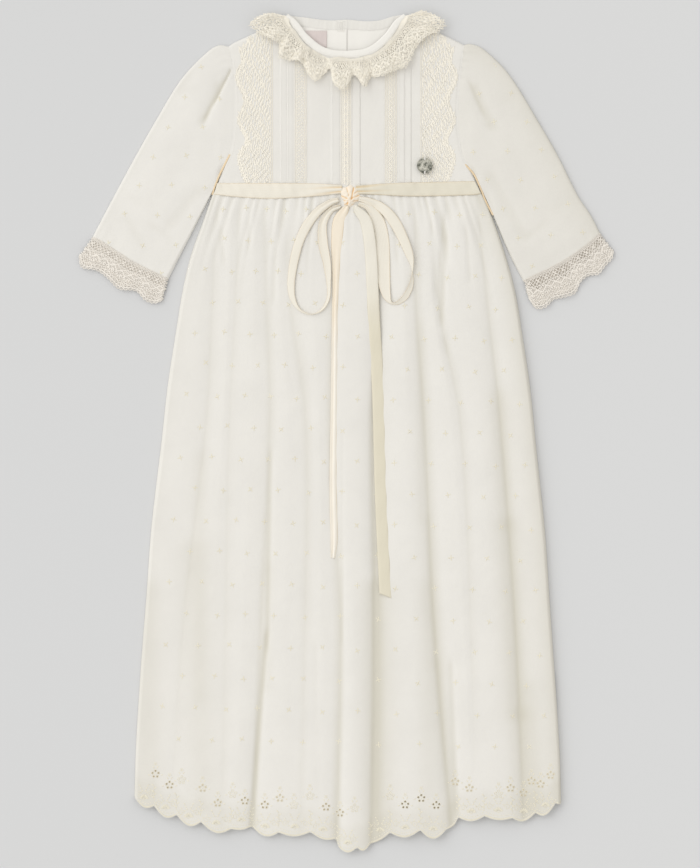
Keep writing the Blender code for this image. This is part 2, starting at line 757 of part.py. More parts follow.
def make_bodice_front(gown, material):
    side_steps = SIDE_STEPS + WIDE_SIDE_STEPS
    columns = [("left", step) for step in side_steps]
    columns += [("middle", x) for x in bodice_columns()]
    columns += [("right", step) for step in reversed(side_steps)]
    rows = [(0.0, step) for step in BODICE_TOP_STEPS] + [(share, 0.0) for share in BODICE_ROWS]
    bottom = WAIST_DROP - WAIST_HALF_GAP

    def line(spec, left, right):
        kind, value = spec
        if kind == "middle":
            if abs(value) <= BODICE_MIDDLE:
                return value
            outer_here = -left if value < 0 else right
            outer_waist = -BODICE_SIDES[-1].left if value < 0 else BODICE_SIDES[-1].right
            share = (abs(value) - BODICE_MIDDLE) / (outer_waist - BODICE_MIDDLE)
            return math.copysign(mix(BODICE_MIDDLE, outer_here, share), value)
        side = left if kind == "left" else right
        inward = value if value in SIDE_STEPS else value * (abs(side) - BODICE_MIDDLE) / WAIST_SIDE
        return side + inward if kind == "left" else side - inward

    def place(i, j):
        share, step = rows[j]
        side_drop = mix(BODICE_SIDES[0].drop, bottom, share)
        left = read(BODICE_SIDES, "drop", side_drop, "left")
        right = read(BODICE_SIDES, "drop", side_drop, "right")
        x = line(columns[i], left, right)
        top = top_edge(line(columns[i], BODICE_SIDES[0].left, BODICE_SIDES[0].right))
        drop = mix(top, bottom, share) + step
        height = BODICE_TOP + tuck_rise(x)
        on_shoulder = ease((abs(x) - SHOULDER_START) / SHOULDER_EASE)
        roll = mix(1.0, rounded(drop - top), on_shoulder)
        at_underarm = ease((drop - UNDERARM_DROP) / (bottom - UNDERARM_DROP))
        from_side = min(x - left, right - x) - SIDE_SEAM_GAP
        roll = min(roll, mix(1.0, rounded(from_side), at_underarm))
        return x, drop, mix(EDGE_HEIGHT, height, roll), 0.0

    return make_sheet("bodice_front", len(columns) - 1, len(rows) - 1, place, gown, material)


def back_top_edge(x):
    """Drop of a back panel's upper edge, inside the shoulder roll and along the back neck."""
    if BACK_NECK[0].x <= x <= BACK_NECK[-1].x:
        return read(BACK_NECK, "x", x, "drop")
    end = BACK_NECK[0] if x < 0 else BACK_NECK[-1]
    shoulder = SHOULDER_LEFT if x < 0 else SHOULDER_RIGHT
    inside = read(shoulder, "x", x, "drop") + BACK_SHOULDER_INSET
    return mix(end.drop, inside, ease(abs(x - end.x) / EDGE_ROLL))


def placket_rise(x):
    """The left half rises at the centre, to lie on the right half's edge."""
    start = PLACKET_EDGE - PLACKET_OVERLAP - PLACKET_RISE_MARGIN
    return (CLOTH_WALL + SEAM_GAP) * ease((x - start) / PLACKET_RISE_LENGTH)


# A back panel's columns from its side edge, which has no x of its own here, to the centre
SIDE_EDGE = None
BACK_LEFT_OUTER = (SIDE_EDGE, -107.0, -94.0, -82.0, -70.0, -62.0, -57.0, -48.0, -38.0)
BACK_LEFT = BACK_LEFT_OUTER + (-26.0, -14.5, -12.5, -10.5, -5.0, PLACKET_EDGE)
BACK_RIGHT_INNER = (PLACKET_EDGE - PLACKET_OVERLAP, 1.0, 10.0, 20.0, 32.0, 44.0, 56.0, 61.0)
BACK_RIGHT = BACK_RIGHT_INNER + (70.0, 82.0, 94.0, 107.0, SIDE_EDGE)
BACK_ROWS = (0.0, 0.1, 0.3, 0.55, 0.8, 1.0)
BACK_INSET_FROM = 140.0
BACK_INSET_OVER = 34.0
BACK_CORNER_INSET = 1.0


def make_bodice_backs(gown, material):
    bottom = WAIST_DROP - WAIST_HALF_GAP
    pieces = []
    for name, lines, on_left in (
        ("bodice_back_left", BACK_LEFT, True),
        ("bodice_back_right", BACK_RIGHT, False),
    ):

        def place(i, j, lines=lines, on_left=on_left):
            share = BACK_ROWS[j]
            side_drop = mix(BODICE_SIDES[0].drop + BACK_SHOULDER_INSET, bottom, share)
            inset_share = ease((side_drop - BACK_INSET_FROM) / BACK_INSET_OVER)
            inset = mix(SIDE_SEAM_GAP, BACK_INSET, inset_share)
            x = lines[i]
            top_x = x
            if x is SIDE_EDGE and on_left:
                x = read(BODICE_SIDES, "drop", side_drop, "left") + inset
                top_x = BODICE_SIDES[0].left + BACK_CORNER_INSET
            elif x is SIDE_EDGE:
                x = read(BODICE_SIDES, "drop", side_drop, "right") - inset
                top_x = BODICE_SIDES[0].right - BACK_CORNER_INSET
            rise = placket_rise(x) if on_left else 0.0
            return x, mix(back_top_edge(top_x), bottom, share), BACK_TOP + rise, 0.0

        pieces.append(make_sheet(name, len(lines) - 1, len(BACK_ROWS) - 1, place, gown, material))
    return pieces


# Sleeves and cuff lace


def crease_height(x, drop):
    total = 0.0
    for crease in SLEEVE_CREASES:
        run_x = crease.x_to - crease.x_from
        run_drop = crease.drop_to - crease.drop_from
        length = math.hypot(run_x, run_drop)
        ahead = ((x - crease.x_from) * run_x + (drop - crease.drop_from) * run_drop) / length
        aside = ((x - crease.x_from) * run_drop - (drop - crease.drop_from) * run_x) / length
        ends = ease(ahead / CREASE_END) * ease((length - ahead) / CREASE_END)
        total -= crease.deep * ends * math.exp(-((aside / crease.wide) ** 2))
    return total


def patch(curves, down, across):
    """Point of a sleeve between its four edges: armhole, cuff, outer edge and inner edge."""
    arm_x, arm_drop = along(curves["armhole"], across)
    cuff_x, cuff_drop = along(curves["cuff"], across)
    outer_x, outer_drop = along(curves["outer"], down)
    inner_x, inner_drop = along(curves["inner"], down)
    corners = [curves["armhole"][0], curves["armhole"][-1], curves["cuff"][0], curves["cuff"][-1]]

    def corner(name):
        values = [getattr(mark, name) for mark in corners]
        return mix(mix(values[0], values[1], across), mix(values[2], values[3], across), down)

    x = mix(arm_x, cuff_x, down) + mix(outer_x, inner_x, across) - corner("x")
    drop = mix(arm_drop, cuff_drop, down) + mix(outer_drop, inner_drop, across) - corner("drop")
    return x, drop


def width_at(curves, down):
    outer = along(curves["outer"], down)
    inner = along(curves["inner"], down)
    return math.hypot(inner[0] - outer[0], inner[1] - outer[1])


def sleeve_height(curves, down, share, inward, x, drop):
    swell = SLEEVE_PUFF * math.sin(math.pi * share) * ease(down / 0.12) * ease((1.0 - down) / 0.1)
    full = SLEEVE_TOP + swell + crease_height(x, drop) * ease(down / 0.1)
    return mix(EDGE_HEIGHT, full, rounded(inward))


SLEEVE_ROWS = (0.0, 0.02, 0.07, 0.14, 0.22, 0.31, 0.4, 0.5, 0.6, 0.7, 0.8, 0.88, 0.95, 1.0)
SLEEVE_STEPS = (0.0, 0.6, 2.0, 4.4)
SLEEVE_BACK_COLUMNS = 6
SLEEVE_BACK_ROWS = 8
SLEEVE_BACK_START = 0.012
UNDERARM_SHARE = 0.35
CUFF_COLUMNS = 22
CUFF_ROWS = 3
CUFF_BACK_COLUMNS = 16
CUFF_BACK_ROWS = 2


def make_sleeve(side, curves, gown, cotton, lace):
    columns = side_columns(9, SLEEVE_STEPS, 0.1)
    from_outer = 1.0 if side == "left" else -1.0

    def spread(i, down):
        share, step = columns[i]
        across = share + step / width_at(curves, down)
        return across if from_outer > 0 else 1.0 - across

    def place(i, j):
        down = SLEEVE_ROWS[j]
        across = spread(i, down)
        x, drop = patch(curves, down, across)
        inward = min(across, 1.0 - across) * width_at(curves, down)
        return x, drop, sleeve_height(curves, down, across, inward, x, drop), 0.0

    front = make_sheet(f"sleeve_{side}_front", len(columns) - 1, len(SLEEVE_ROWS) - 1, place, gown, cotton)

    def place_back(i, j):
        down = mix(SLEEVE_BACK_START, 1.0, j / SLEEVE_BACK_ROWS)
        wide = width_at(curves, down)
        inner = SLEEVE_INSET * mix(UNDERARM_INSET, 1.0, ease(down / UNDERARM_SHARE))
        across = mix(SLEEVE_INSET / wide, 1.0 - inner / wide, i / SLEEVE_BACK_COLUMNS)
        x, drop = patch(curves, down, across)
        return x, drop, BACK_TOP, 0.0

    make_sheet(
        f"sleeve_{side}_back", SLEEVE_BACK_COLUMNS, SLEEVE_BACK_ROWS, place_back, gown, cotton
    )

    lace_columns = side_columns(CUFF_COLUMNS, SLEEVE_STEPS, 0.08)

    def lace_spread(i):
        share, step = lace_columns[i]
        across = share + step / width_at(curves, 1.0)
        return across if from_outer > 0 else 1.0 - across

    def lace_point(across, out):
        cuff = along(curves["cuff"], across)
        rim = along(curves["lace"], across)
        length = math.hypot(rim[0] - cuff[0], rim[1] - cuff[1])
        share = mix(SIDE_SEAM_GAP / length, 1.0, out)
        return mix(cuff[0], rim[0], share), mix(cuff[1], rim[1], share)

    def place_lace(i, j):
        across = lace_spread(i)
        out = j / CUFF_ROWS
        x, drop = lace_point(across, out)
        wave = CUFF_WAVE * out * math.cos(2.0 * math.pi * CUFF_WAVES * across)
        inward = min(across, 1.0 - across) * width_at(curves, 1.0)
        full = mix(SLEEVE_TOP, FRONT_LOW + CUFF_RIM_RISE, out) + wave
        return x, drop, mix(EDGE_HEIGHT, full, rounded(inward)), 0.0

    make_sheet(
        f"cuff_lace_{side}_front", len(lace_columns) - 1, CUFF_ROWS, place_lace, gown, lace, LACE_WALL
    )

    def place_lace_back(i, j):
        wide = width_at(curves, 1.0)
        across = mix(BACK_INSET / wide, 1.0 - BACK_INSET / wide, i / CUFF_BACK_COLUMNS)
        x, drop = lace_point(across, CUFF_BACK_DEPTH * j / CUFF_BACK_ROWS)
        return x, drop, LACE_WALL, 0.0

    make_sheet(
        f"cuff_lace_{side}_back",
        CUFF_BACK_COLUMNS,
        CUFF_BACK_ROWS,
        place_lace_back,
        gown,
        lace,
        LACE_WALL,
    )
    return front


# Neck


BAND_STATIONS = 28
BAND_ROWS = 2
BACK_BAND_STATIONS = 14
BACK_BAND_END = 1.5
BACK_BAND_SPLIT = 0.9
BACK_BAND_MARGIN = 3.0
BACK_BAND_DROP = 0.2


def make_neck_bands(gown, material, backs):
    def place(i, j):
        seam_x = along(NECK_SEAM, i / BAND_STATIONS)[0]
        seam_drop = read(NECK_SEAM, "x", seam_x, "drop")
        edge_x, edge_drop = along(NECK_EDGE, i / BAND_STATIONS)
        share = j / BAND_ROWS
        crown = BAND_CROWN * math.sin(math.pi * share)
        height = BODICE_TOP - CLOTH_WALL + BINDING_WALL + crown
        return mix(edge_x, seam_x, share), mix(edge_drop, seam_drop, share), height, 0.0

    make_sheet("neck_band_front", BAND_STATIONS, BAND_ROWS, place, gown, material, BINDING_WALL)
    ground = Ground(backs)
    right_end = BACK_NECK[-1].x - BACK_BAND_END
    spans = (
        ("neck_band_back_left", BACK_NECK[0].x + BACK_BAND_END, PLACKET_EDGE, 2.2),
        ("neck_band_back_right", PLACKET_EDGE + BACK_BAND_SPLIT, right_end, 0.5),
    )
    for name, start, end, reach in spans:

        def place_back(i, j, start=start, end=end, reach=reach):
            x = mix(start, end, i / BACK_BAND_STATIONS)
            drop = back_top_edge(x) + BACK_BAND_DROP + BACK_BAND_DEPTH * j
            inside = drop + mix(BACK_BAND_MARGIN, -BACK_BAND_MARGIN, j)
            return x, drop, ground.around(x, inside, reach) + SEAM_GAP + LACE_WALL, 0.0

        make_sheet(name, BACK_BAND_STATIONS, 1, place_back, gown, material, LACE_WALL)


RUFFLE_BETWEEN = 2
RUFFLE_ROWS = 3


def make_ruffle(gown, material, ground):
    stations = (len(NECK_RUFFLE) - 1) * RUFFLE_BETWEEN
    keys = list(range(len(NECK_RUFFLE)))

    def place(i, j):
        at = i / RUFFLE_BETWEEN
        out = j / RUFFLE_ROWS
        values = {name: hermite(keys, column(NECK_RUFFLE, name), at) for name in Ruffled._fields}
        x = mix(values["x_neck"], values["x_rim"], out)
        drop = mix(values["drop_neck"], values["drop_rim"], out)
        rest = max(ground.around(x, drop, RUFFLE_REACH), BODICE_TOP)
        height = rest + SEAM_GAP + values["lift"] * ease(out * RUFFLE_QUICK_LIFT)
        return x, drop, height, 0.0

    make_sheet("neck_ruffle", stations, RUFFLE_ROWS, place, gown, material, LACE_WALL, grow=1.0)


# Strips laid on the bodice


def strip_end(x):
    """Drop at which a strip of lace stops, just above the belt."""
    strip = BELT_LEFT if x < 0 else BELT_RIGHT
    return read(strip, "x", x, "top") - STRIP_GAP


PANEL_COLUMNS = 2
PANEL_ROWS = 22
INSERTION_COLUMNS = 2
INSERTION_ROWS = 4
BELT_COLUMNS = 20
BELT_ROWS = 2


def make_lace_panels(gown, material, ground):
    panels = []
    first, last = LACE_PANEL_EDGE[0], LACE_PANEL_EDGE[-1]
    for name, side in (("lace_panel_left", -1.0), ("lace_panel_right", 1.0)):

        def place(i, j, side=side):
            share = i / PANEL_COLUMNS
            down = j / PANEL_ROWS
            edge = read(LACE_PANEL_EDGE, "drop", mix(first.drop, last.drop, down), "edge")
            x = side * mix(LACE_PANEL_INNER, edge, share)
            top = top_edge(side * mix(LACE_PANEL_INNER, first.edge, share)) + LACE_PANEL_TOP_INSET
            drop = mix(top, strip_end(x), down)
            height = ground.around(x, drop, LACE_PANEL_REACH) + SEAM_GAP + LACE_WALL
            return x, drop, height, 0.0

        panels.append(make_sheet(name, PANEL_COLUMNS, PANEL_ROWS, place, gown, material, LACE_WALL))
    return panels


def make_insertions(gown, material):
    strips = []
    for name, left, right in INSERTIONS:

        def place(i, j, left=left, right=right):
            x = mix(left, right, i / INSERTION_COLUMNS)
            drop = mix(top_edge(x) + INSERTION_TOP_INSET, strip_end(x), j / INSERTION_ROWS)
            return x, drop, BODICE_TOP + SEAM_GAP + LACE_WALL, 0.0

        strip = make_sheet(
            name, INSERTION_COLUMNS, INSERTION_ROWS, place, gown, material, LACE_WALL
        )
        strips.append(strip)
    return strips


def make_belts(gown, material, ground):
    for name, strip in (("belt_left", BELT_LEFT), ("belt_right", BELT_RIGHT)):

        def place(i, j, strip=strip):
            x = mix(strip[0].x, strip[-1].x, i / BELT_COLUMNS)
            drop = mix(read(strip, "x", x, "top"), read(strip, "x", x, "bottom"), j / BELT_ROWS)
            return x, drop, ground.around(x, drop, BELT_REACH) + BELT_GAP + RIBBON_WALL, 0.0

        make_sheet(name, BELT_COLUMNS, BELT_ROWS, place, gown, material, RIBBON_WALL)


# Bow


TAIL_SPACING = 12.0
LOOP_SPACING = 6.0
REACH_LEAST = 1.5
REACH_MARGIN = 0.8
# Share of a tilted ribbon's width that stands up; the rest is pressed flat
RIBBON_STAND = 0.4


def make_ribbon(name, table, gown, material, ground, spacing, cut=0.0):
    """A ribbon along its middle line, tilted about it and resting on what lies below."""
    keys = chords(table)
    length = sum(
        math.hypot(two.x - one.x, two.drop - one.drop) for one, two in zip(table, table[1:])
    )
    stations = round(length / spacing)
    path = []
    for i in range(stations + 1):
        share = i / stations
        path.append(Ribbon(*(hermite(keys, column(table, field), share) for field in Ribbon._fields)))
    heights = []
    for spot in path:
        half = spot.wide / 2
        tilt = math.radians(spot.tilt)
        reach = max(half * abs(math.cos(tilt)), REACH_LEAST) + REACH_MARGIN
        rest = ground.around(spot.x, spot.drop, reach)
        stand = half * abs(math.sin(tilt)) * RIBBON_STAND
        heights.append(rest + SEAM_GAP + RIBBON_WALL / 2 + stand + spot.lift)
    smooth = []
    for i in range(len(heights)):
        near = heights[max(i - 1, 0): i + 2]
        smooth.append(max(mix(max(near), sum(near) / len(near), 0.5), heights[i]))

    def place(i, j):
        spot = path[i]
        before = path[max(i - 1, 0)]
        after = path[min(i + 1, stations)]
        run = Vector((after.x - before.x, after.drop - before.drop, 0.0)).normalized()
        outward = Vector((run.y, -run.x, 0.0))
        tilt = math.radians(spot.tilt)
        side = (j - 0.5) * spot.wide
        level = side * math.cos(tilt)
        slant = cut * side / RIBBON_WIDTH if i == stations else 0.0
        return (
            spot.x + outward.x * level + run.x * slant,
            spot.drop + outward.y * level + run.y * slant,
            smooth[i] + side * math.sin(tilt) * RIBBON_STAND,
            0.0,
        )

    return make_sheet(name, stations, 1, place, gown, material, RIBBON_WALL, grow=0.0)


def make_knot(gown, material, ground):
    wide, deep, high = KNOT_SIZE
    bpy.ops.mesh.primitive_cube_add(size=1.0)
    knot = bpy.context.active_object
    knot.name = "bow_knot"
    knot.data.name = "bow_knot"
    rest = ground.around(KNOT_AT[0], KNOT_AT[1], wide / 2 + 1.0)
    knot.location = to_world(KNOT_AT[0], KNOT_AT[1], rest + SEAM_GAP + high / 2)
    knot.scale = (wide * MM, deep * MM, high * MM)
    for holder in list(knot.users_collection):
        holder.objects.unlink(knot)
    finish_object(knot, gown, material)
    bpy.context.view_layer.objects.active = knot
    knot.select_set(True)
    bpy.ops.object.transform_apply(location=False, rotation=False, scale=True)
    bevel = knot.modifiers.new("rounding", "BEVEL")
    bevel.width = KNOT_ROUNDING * MM
    bevel.segments = 3


# Medal and label


MEDAL_SIDES = 40
HOLE_SIDES = 12


def make_disc(name, sides, diameter, depth):
    form = bmesh.new()
    bmesh.ops.create_cone(
        form,
        cap_ends=True,
        segments=sides,
        radius1=diameter / 2 * MM,
        radius2=diameter / 2 * MM,
        depth=depth * MM,
    )
    mesh = bpy.data.meshes.new(name)
    form.to_mesh(mesh)
    form.free()
    return bpy.data.objects.new(name, mesh)


def make_medal(gown, cutters, material, ground):
    rest = ground.around(MEDAL_AT[0], MEDAL_AT[1], MEDAL_DIAMETER / 2)
    medal = finish_object(
        make_disc("medal", MEDAL_SIDES, MEDAL_DIAMETER, MEDAL_THICKNESS), gown, material
    )
    medal.location = to_world(*MEDAL_AT, rest + SEAM_GAP + MEDAL_THICKNESS / 2)
    from_centre = (MEDAL_DIAMETER / 2 - MEDAL_HOLE_INSET) * MM
    for name, up in (("medal_hole_top", 1.0), ("medal_hole_bottom", -1.0)):
        cutter = make_disc(name, HOLE_SIDES, MEDAL_HOLE, 4 * MEDAL_THICKNESS)
        cutters.objects.link(cutter)
        cutter.location = medal.location + Vector((0.0, up * from_centre, 0.0))
        cutter.display_type = "WIRE"
        cutter.hide_render = True
        cut = medal.modifiers.new(name, "BOOLEAN")
        cut.object = cutter
        cut.operation = "DIFFERENCE"
        cut.solver = "EXACT"


def make_label(gown, material, ground):
    wide, deep = LABEL_SIZE
    rest = ground.around(LABEL_AT[0], LABEL_AT[1], wide / 2 - 2.0)

    def place(i, j):
        x = LABEL_AT[0] + (i / 2 - 0.5) * wide
        drop = LABEL_AT[1] + (j / 2 - 0.5) * deep
        return x, drop, rest + SEAM_GAP + LABEL_WALL, 0.0

    make_sheet("label", 2, 2, place, gown, material, LABEL_WALL)


def main():
    gown, cutters = start_scene()
    cotton = make_material("cotton")
    lace = make_material("lace")
    ribbon = make_material("ribbon")
    metal = make_material("metal")
    woven = make_material("label")

    skirt_front = make_skirt(gown, cotton)
    bodice = make_bodice_front(gown, cotton)
    backs = make_bodice_backs(gown, cotton)
    left_sleeve = make_sleeve("left", SLEEVE_LEFT, gown, cotton, lace)
    right_sleeve = make_sleeve("right", SLEEVE_RIGHT, gown, cotton, lace)
    make_label(gown, woven, Ground(backs))
    make_neck_bands(gown, cotton, backs)

    panels = make_lace_panels(gown, lace, Ground([bodice]))
    insertions = make_insertions(gown, lace)
    make_medal(gown, cutters, metal, Ground(panels))
    make_ruffle(gown, lace, Ground([bodice] + panels + insertions))
    make_belts(gown, ribbon, Ground([bodice, skirt_front, left_sleeve, right_sleeve]))

    cloth = [skirt_front, bodice]
    make_knot(gown, ribbon, Ground(cloth))
    on_cloth = Ground(cloth)
    left_tail = make_ribbon("bow_tail_left", TAIL_LEFT, gown, ribbon, on_cloth, TAIL_SPACING)
    right_tail = make_ribbon(
        "bow_tail_right", TAIL_RIGHT, gown, ribbon, on_cloth, TAIL_SPACING, TAIL_CUT
    )
    on_tails = Ground(cloth + [left_tail, right_tail])
    make_ribbon("bow_loop_left", LOOP_LEFT, gown, ribbon, on_tails, LOOP_SPACING)
    make_ribbon("bow_loop_right", LOOP_RIGHT, gown, ribbon, on_tails, LOOP_SPACING)


main()
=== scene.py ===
"""Christening gown laid flat: its fine cloth, lace, ribbon, embroidery, charm and studio.

Sizes in the tables are millimetres. x runs to the picture's right from the centre front, drop runs
down the gown from its top edge, and heights run up from the surface that the gown lies on.
"""
import math
from collections import namedtuple

import bmesh
import bpy
import numpy as np
from bpy.props import FloatProperty, FloatVectorProperty, PointerProperty
from mathutils import Matrix, Vector
from mathutils.bvhtree import BVHTree


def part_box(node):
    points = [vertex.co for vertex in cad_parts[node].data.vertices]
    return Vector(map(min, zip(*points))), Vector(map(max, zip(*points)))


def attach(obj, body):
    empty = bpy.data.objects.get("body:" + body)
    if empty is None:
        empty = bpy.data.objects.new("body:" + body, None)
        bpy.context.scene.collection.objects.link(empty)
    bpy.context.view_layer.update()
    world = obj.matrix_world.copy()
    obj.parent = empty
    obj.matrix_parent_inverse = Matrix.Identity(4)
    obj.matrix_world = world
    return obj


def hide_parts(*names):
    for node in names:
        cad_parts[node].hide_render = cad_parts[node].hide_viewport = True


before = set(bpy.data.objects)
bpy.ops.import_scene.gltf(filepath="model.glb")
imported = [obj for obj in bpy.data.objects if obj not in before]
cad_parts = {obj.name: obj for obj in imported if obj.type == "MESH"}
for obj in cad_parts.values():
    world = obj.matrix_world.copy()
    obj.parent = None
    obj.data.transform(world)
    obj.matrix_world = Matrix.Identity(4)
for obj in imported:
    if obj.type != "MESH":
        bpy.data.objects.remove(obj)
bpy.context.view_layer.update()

bl_info = {
    "name": "Christening gown",
    "version": (1, 0, 0),
    "blender": (4, 5, 0),
    "location": "View3D > Sidebar > Gown",
    "description": "Builds a flat-laid christening gown with its lace, ribbon bow and embroidery",
    "category": "Object",
}

MM = 0.001
GOWN_LENGTH = 840.0
SEAM_GAP = 0.3
SIDE_SEAM_GAP = 0.7
NECK_GAP = 0.5

CLOTH_WALL = 1.2

# Heights of the layers, each on the one below it
ABOVE_ALL = 100.0
BACK_TOP = CLOTH_WALL
FRONT_LOW = BACK_TOP + SEAM_GAP + CLOTH_WALL
BODICE_TOP = 4.2
SLEEVE_TOP = 4.2
EDGE_HEIGHT = 0.3
EDGE_ROLL = 3.2
# Wall of the thin sheets that stand for cloth and ribbon seen from one side
THIN = 0.35
BACK_INSET = 3.6
BACK_HEM_INSET = 2.0
BACK_SHOULDER_INSET = 4.4
SLEEVE_INSET = 5.8
UNDERARM_INSET = 4.2

WAIST_DROP = 178.6
WAIST_HALF_GAP = 0.15
SKIRT_TOP = WAIST_DROP + WAIST_HALF_GAP
BODICE_END = WAIST_DROP - WAIST_HALF_GAP

RIBBON_WIDTH = 12.0
TUCK_RISE = 0.42
LEFT_TUCK_SHARE = 0.45
MEDAL_DIAMETER = 15.5
MEDAL_HOLE_INSET = 2.2

def table(kind, *rows):
    """A table's rows, with the columns that its kind names."""
    return tuple(kind(*row) for row in rows)


Level = namedtuple("Level", "drop left right")
SKIRT_SIDES = table(
    Level, (178, -132.5, 134), (209.5, -142.3, 146.2), (250.5, -155.7, 159.4), (290.5, -164.2, 169.2),
    (331.5, -170.3, 175.4), (392.5, -178.8, 183.7), (454.5, -185.1, 189.5), (544.5, -194.9, 198.3),
    (621.5, -200.1, 203.1), (698.5, -205.6, 208), (784.5, -210.5, 213.1), (840, -212, 214.5),
)
BODICE_SIDES = table(
    Level, (35, -117.5, 117), (58.5, -112.9, 114.6), (78.5, -111.2, 112.4), (98.5, -110.5, 110.6),
    (115.5, -111.5, 110.9), (138.5, -114.9, 114.2), (151.5, -119.5, 119.2), (163.5, -125.6, 126.2),
    (178.6, -132.5, 134.6),
)

# The bottom edge: where each scallop begins, and how far it bellies down before the next
Scallop = namedtuple("Scallop", "x drop belly")
HEM = table(
    Scallop, (-212, 784.5, 6), (-192, 793.5, 7), (-169.5, 802.5, 7.5), (-145.1, 809.5, 7.5), (-115, 816.5, 2),
    (-94.5, 814.5, 6.7), (-67.5, 820, 4.3), (-35.8, 819.5, 4), (-10.6, 826.5, 0), (-8, 835, 5), (10.5, 835, 5),
    (24, 831.5, 2), (43.5, 820.1, 6), (73.5, 817.5, 9), (99.9, 816.9, 1), (108.5, 811.9, 0), (111.5, 805, 4.5),
    (137.5, 803.5, 3), (165.3, 805.5, 6), (188.5, 800.5, 7), (208.5, 790.5, 1), (216, 791, 0),
)

# Skirt folds: a valley's x at five levels, its depth at three, and the width of its two flanks
FOLD_LEVELS = (188.5, 288.5, 408.5, 613.5, 840.0)
DEPTH_LEVELS = (188.5, 408.5, 840.0)
Fold = namedtuple("Fold", "waist upper middle lower hem deep_waist deep_middle deep_hem left right")
SKIRT_FOLDS = table(
    Fold, (-128.5, -133.5, -139.5, -162.5, -176.5, 1.5, 1.5, 0.3, 9, 15),
    (-106.5, -110.5, -116.5, -120.5, -124.5, 1.6, 0.9, 0.5, 8, 14),
    (-82.5, -79.5, -76.5, -85.5, -94.5, 1.6, 1.6, 2.6, 9, 12),
    (-62.5, -56.5, -40.5, -41.5, -46.5, 1.4, 1.5, 0.5, 10, 15),
    (-9.5, -12.5, -16.5, -6.5, -10.5, 1.4, 1.6, 2.4, 12, 7), (29.5, 31.5, 25.5, 28.5, 26, 3, 3.6, 3.9, 8, 17),
    (68.5, 69.5, 77.5, 87.5, 107, 1.8, 3, 3.3, 8, 17), (99.5, 92.5, 113.5, 124, 128, 3.2, 1.4, 0.4, 7, 12),
    (130.5, 140.5, 153.5, 168.5, 178.5, 2.2, 3.2, 2.8, 8, 15),
)
CROWN_LEFT = 3.2
CROWN_RIGHT = 4.5
CROWN_CHANGE_FROM = -60.0
CROWN_CHANGE_OVER = 110.0
CROWN_MOST = 4.6
RELIEF_LEAST = 0.05
WAIST_RELIEF = 1.2
WAIST_RISE_LENGTH = 34.0
GATHERS = 20
GATHER_LENGTH = 46.0
GATHER_SWELL_LENGTH = 16.0
UNEVEN_DEPTHS = 17.0
UNEVEN_LENGTHS = 29.0

# A sewn tuck: the line that it is stitched along and its free edge
Tuck = namedtuple("Tuck", "stitched free")
TUCKS = table(Tuck, (-59.6, -65.5), (-53.5, -59), (-6.5, -14.5), (5.5, 13.5), (52.5, 58), (58.6, 64.5))

# Plan outlines, as points along smooth curves
Mark = namedtuple("Mark", "x drop")
SHOULDER_LEFT = table(Mark, (-117.5, 35), (-113, 31.6), (-90.7, 21.2), (-61.2, 5.7))
SHOULDER_RIGHT = table(Mark, (59.8, 5.5), (95.7, 22.9), (112, 30.8), (117, 33.6))
NECK_SEAM = table(
    Mark, (-61, 5.6), (-51.7, 18.3), (-40.2, 32.7), (-25.3, 42.6), (-0.5, 47.1), (24.5, 42.6), (39.5, 32.7),
    (50.5, 18.5), (59.6, 5.4),
)
NECK_EDGE = table(
    Mark, (-58, 3.4), (-49.6, 10), (-38.4, 24), (-21.5, 36.6), (-0.5, 39.8), (21, 36.6), (37.4, 24), (48, 10),
    (56.6, 3.2),
)
BACK_NECK = table(
    Mark, (-57, 4.6), (-40.5, 6.3), (-28.7, 8), (-13.8, 9.2), (0.5, 8.4), (20.5, 10), (34.5, 8.8), (46, 5.2),
    (56, 3.6),
)
BACK_BAND_DEPTH = 9.5
BACK_BAND_INSET = 1.5
BAND_CROWN = 0.15
PLACKET_EDGE = 1.0
PLACKET_OVERLAP = 10.0
PLACKET_RISE_MARGIN = 5.5
PLACKET_RISE_LENGTH = 4.0

SLEEVE_LEFT = {
    "armhole": table(
        Mark, (-117.9, 35), (-113.3, 58.5), (-110.9, 98.5), (-115.2, 138.5), (-120, 151.8), (-126.1, 163.5),
        (-132.5, 177.6),
    ),
    "outer": table(
        Mark, (-117.9, 35), (-127.5, 33.8), (-138.5, 40), (-165, 67.5), (-190, 108), (-213, 148.5),
        (-234.5, 188.5), (-249, 216), (-254.1, 226.1),
    ),
    "inner": table(Mark, (-132.5, 177.6), (-153.5, 219.5), (-168.1, 247.9), (-178, 268)),
    "cuff": table(Mark, (-254.1, 226.1), (-244.5, 230.9), (-211.7, 251.5), (-178, 268)),
    "lace": table(
        Mark, (-267, 244), (-264.5, 255.5), (-250, 258.5), (-239.5, 265.5), (-227.5, 277), (-210, 279.5),
        (-200.5, 289), (-191.5, 291.5), (-183.5, 288.5),
    ),
}
SLEEVE_RIGHT = {
    "armhole": table(
        Mark, (117.4, 33.6), (114.9, 58.5), (110.9, 98.5), (114.6, 138.5), (119.7, 151.8), (126.8, 163.5),
        (134.8, 177.6),
    ),
    "outer": table(
        Mark, (117.4, 33.6), (123.8, 32.5), (136.5, 37.5), (162, 62.5), (190.2, 107.5), (211.2, 144),
        (231.5, 184.5), (244.9, 204.8), (253.5, 222),
    ),
    "inner": table(Mark, (134.8, 177.6), (143.6, 197.5), (163.4, 244), (176.6, 269.8)),
    "cuff": table(Mark, (253.5, 222), (239.2, 234.5), (212.4, 252.5), (176.6, 269.8)),
    "lace": table(
        Mark, (266.5, 239), (265, 247), (258, 254.5), (251.5, 262.5), (241.5, 264), (233.5, 270.5),
        (228, 281.5), (217.5, 285.5), (206.5, 288), (198.5, 295.5), (189.5, 296.5), (182, 286.5),
    ),
}
SLEEVES = (("left", SLEEVE_LEFT), ("right", SLEEVE_RIGHT))
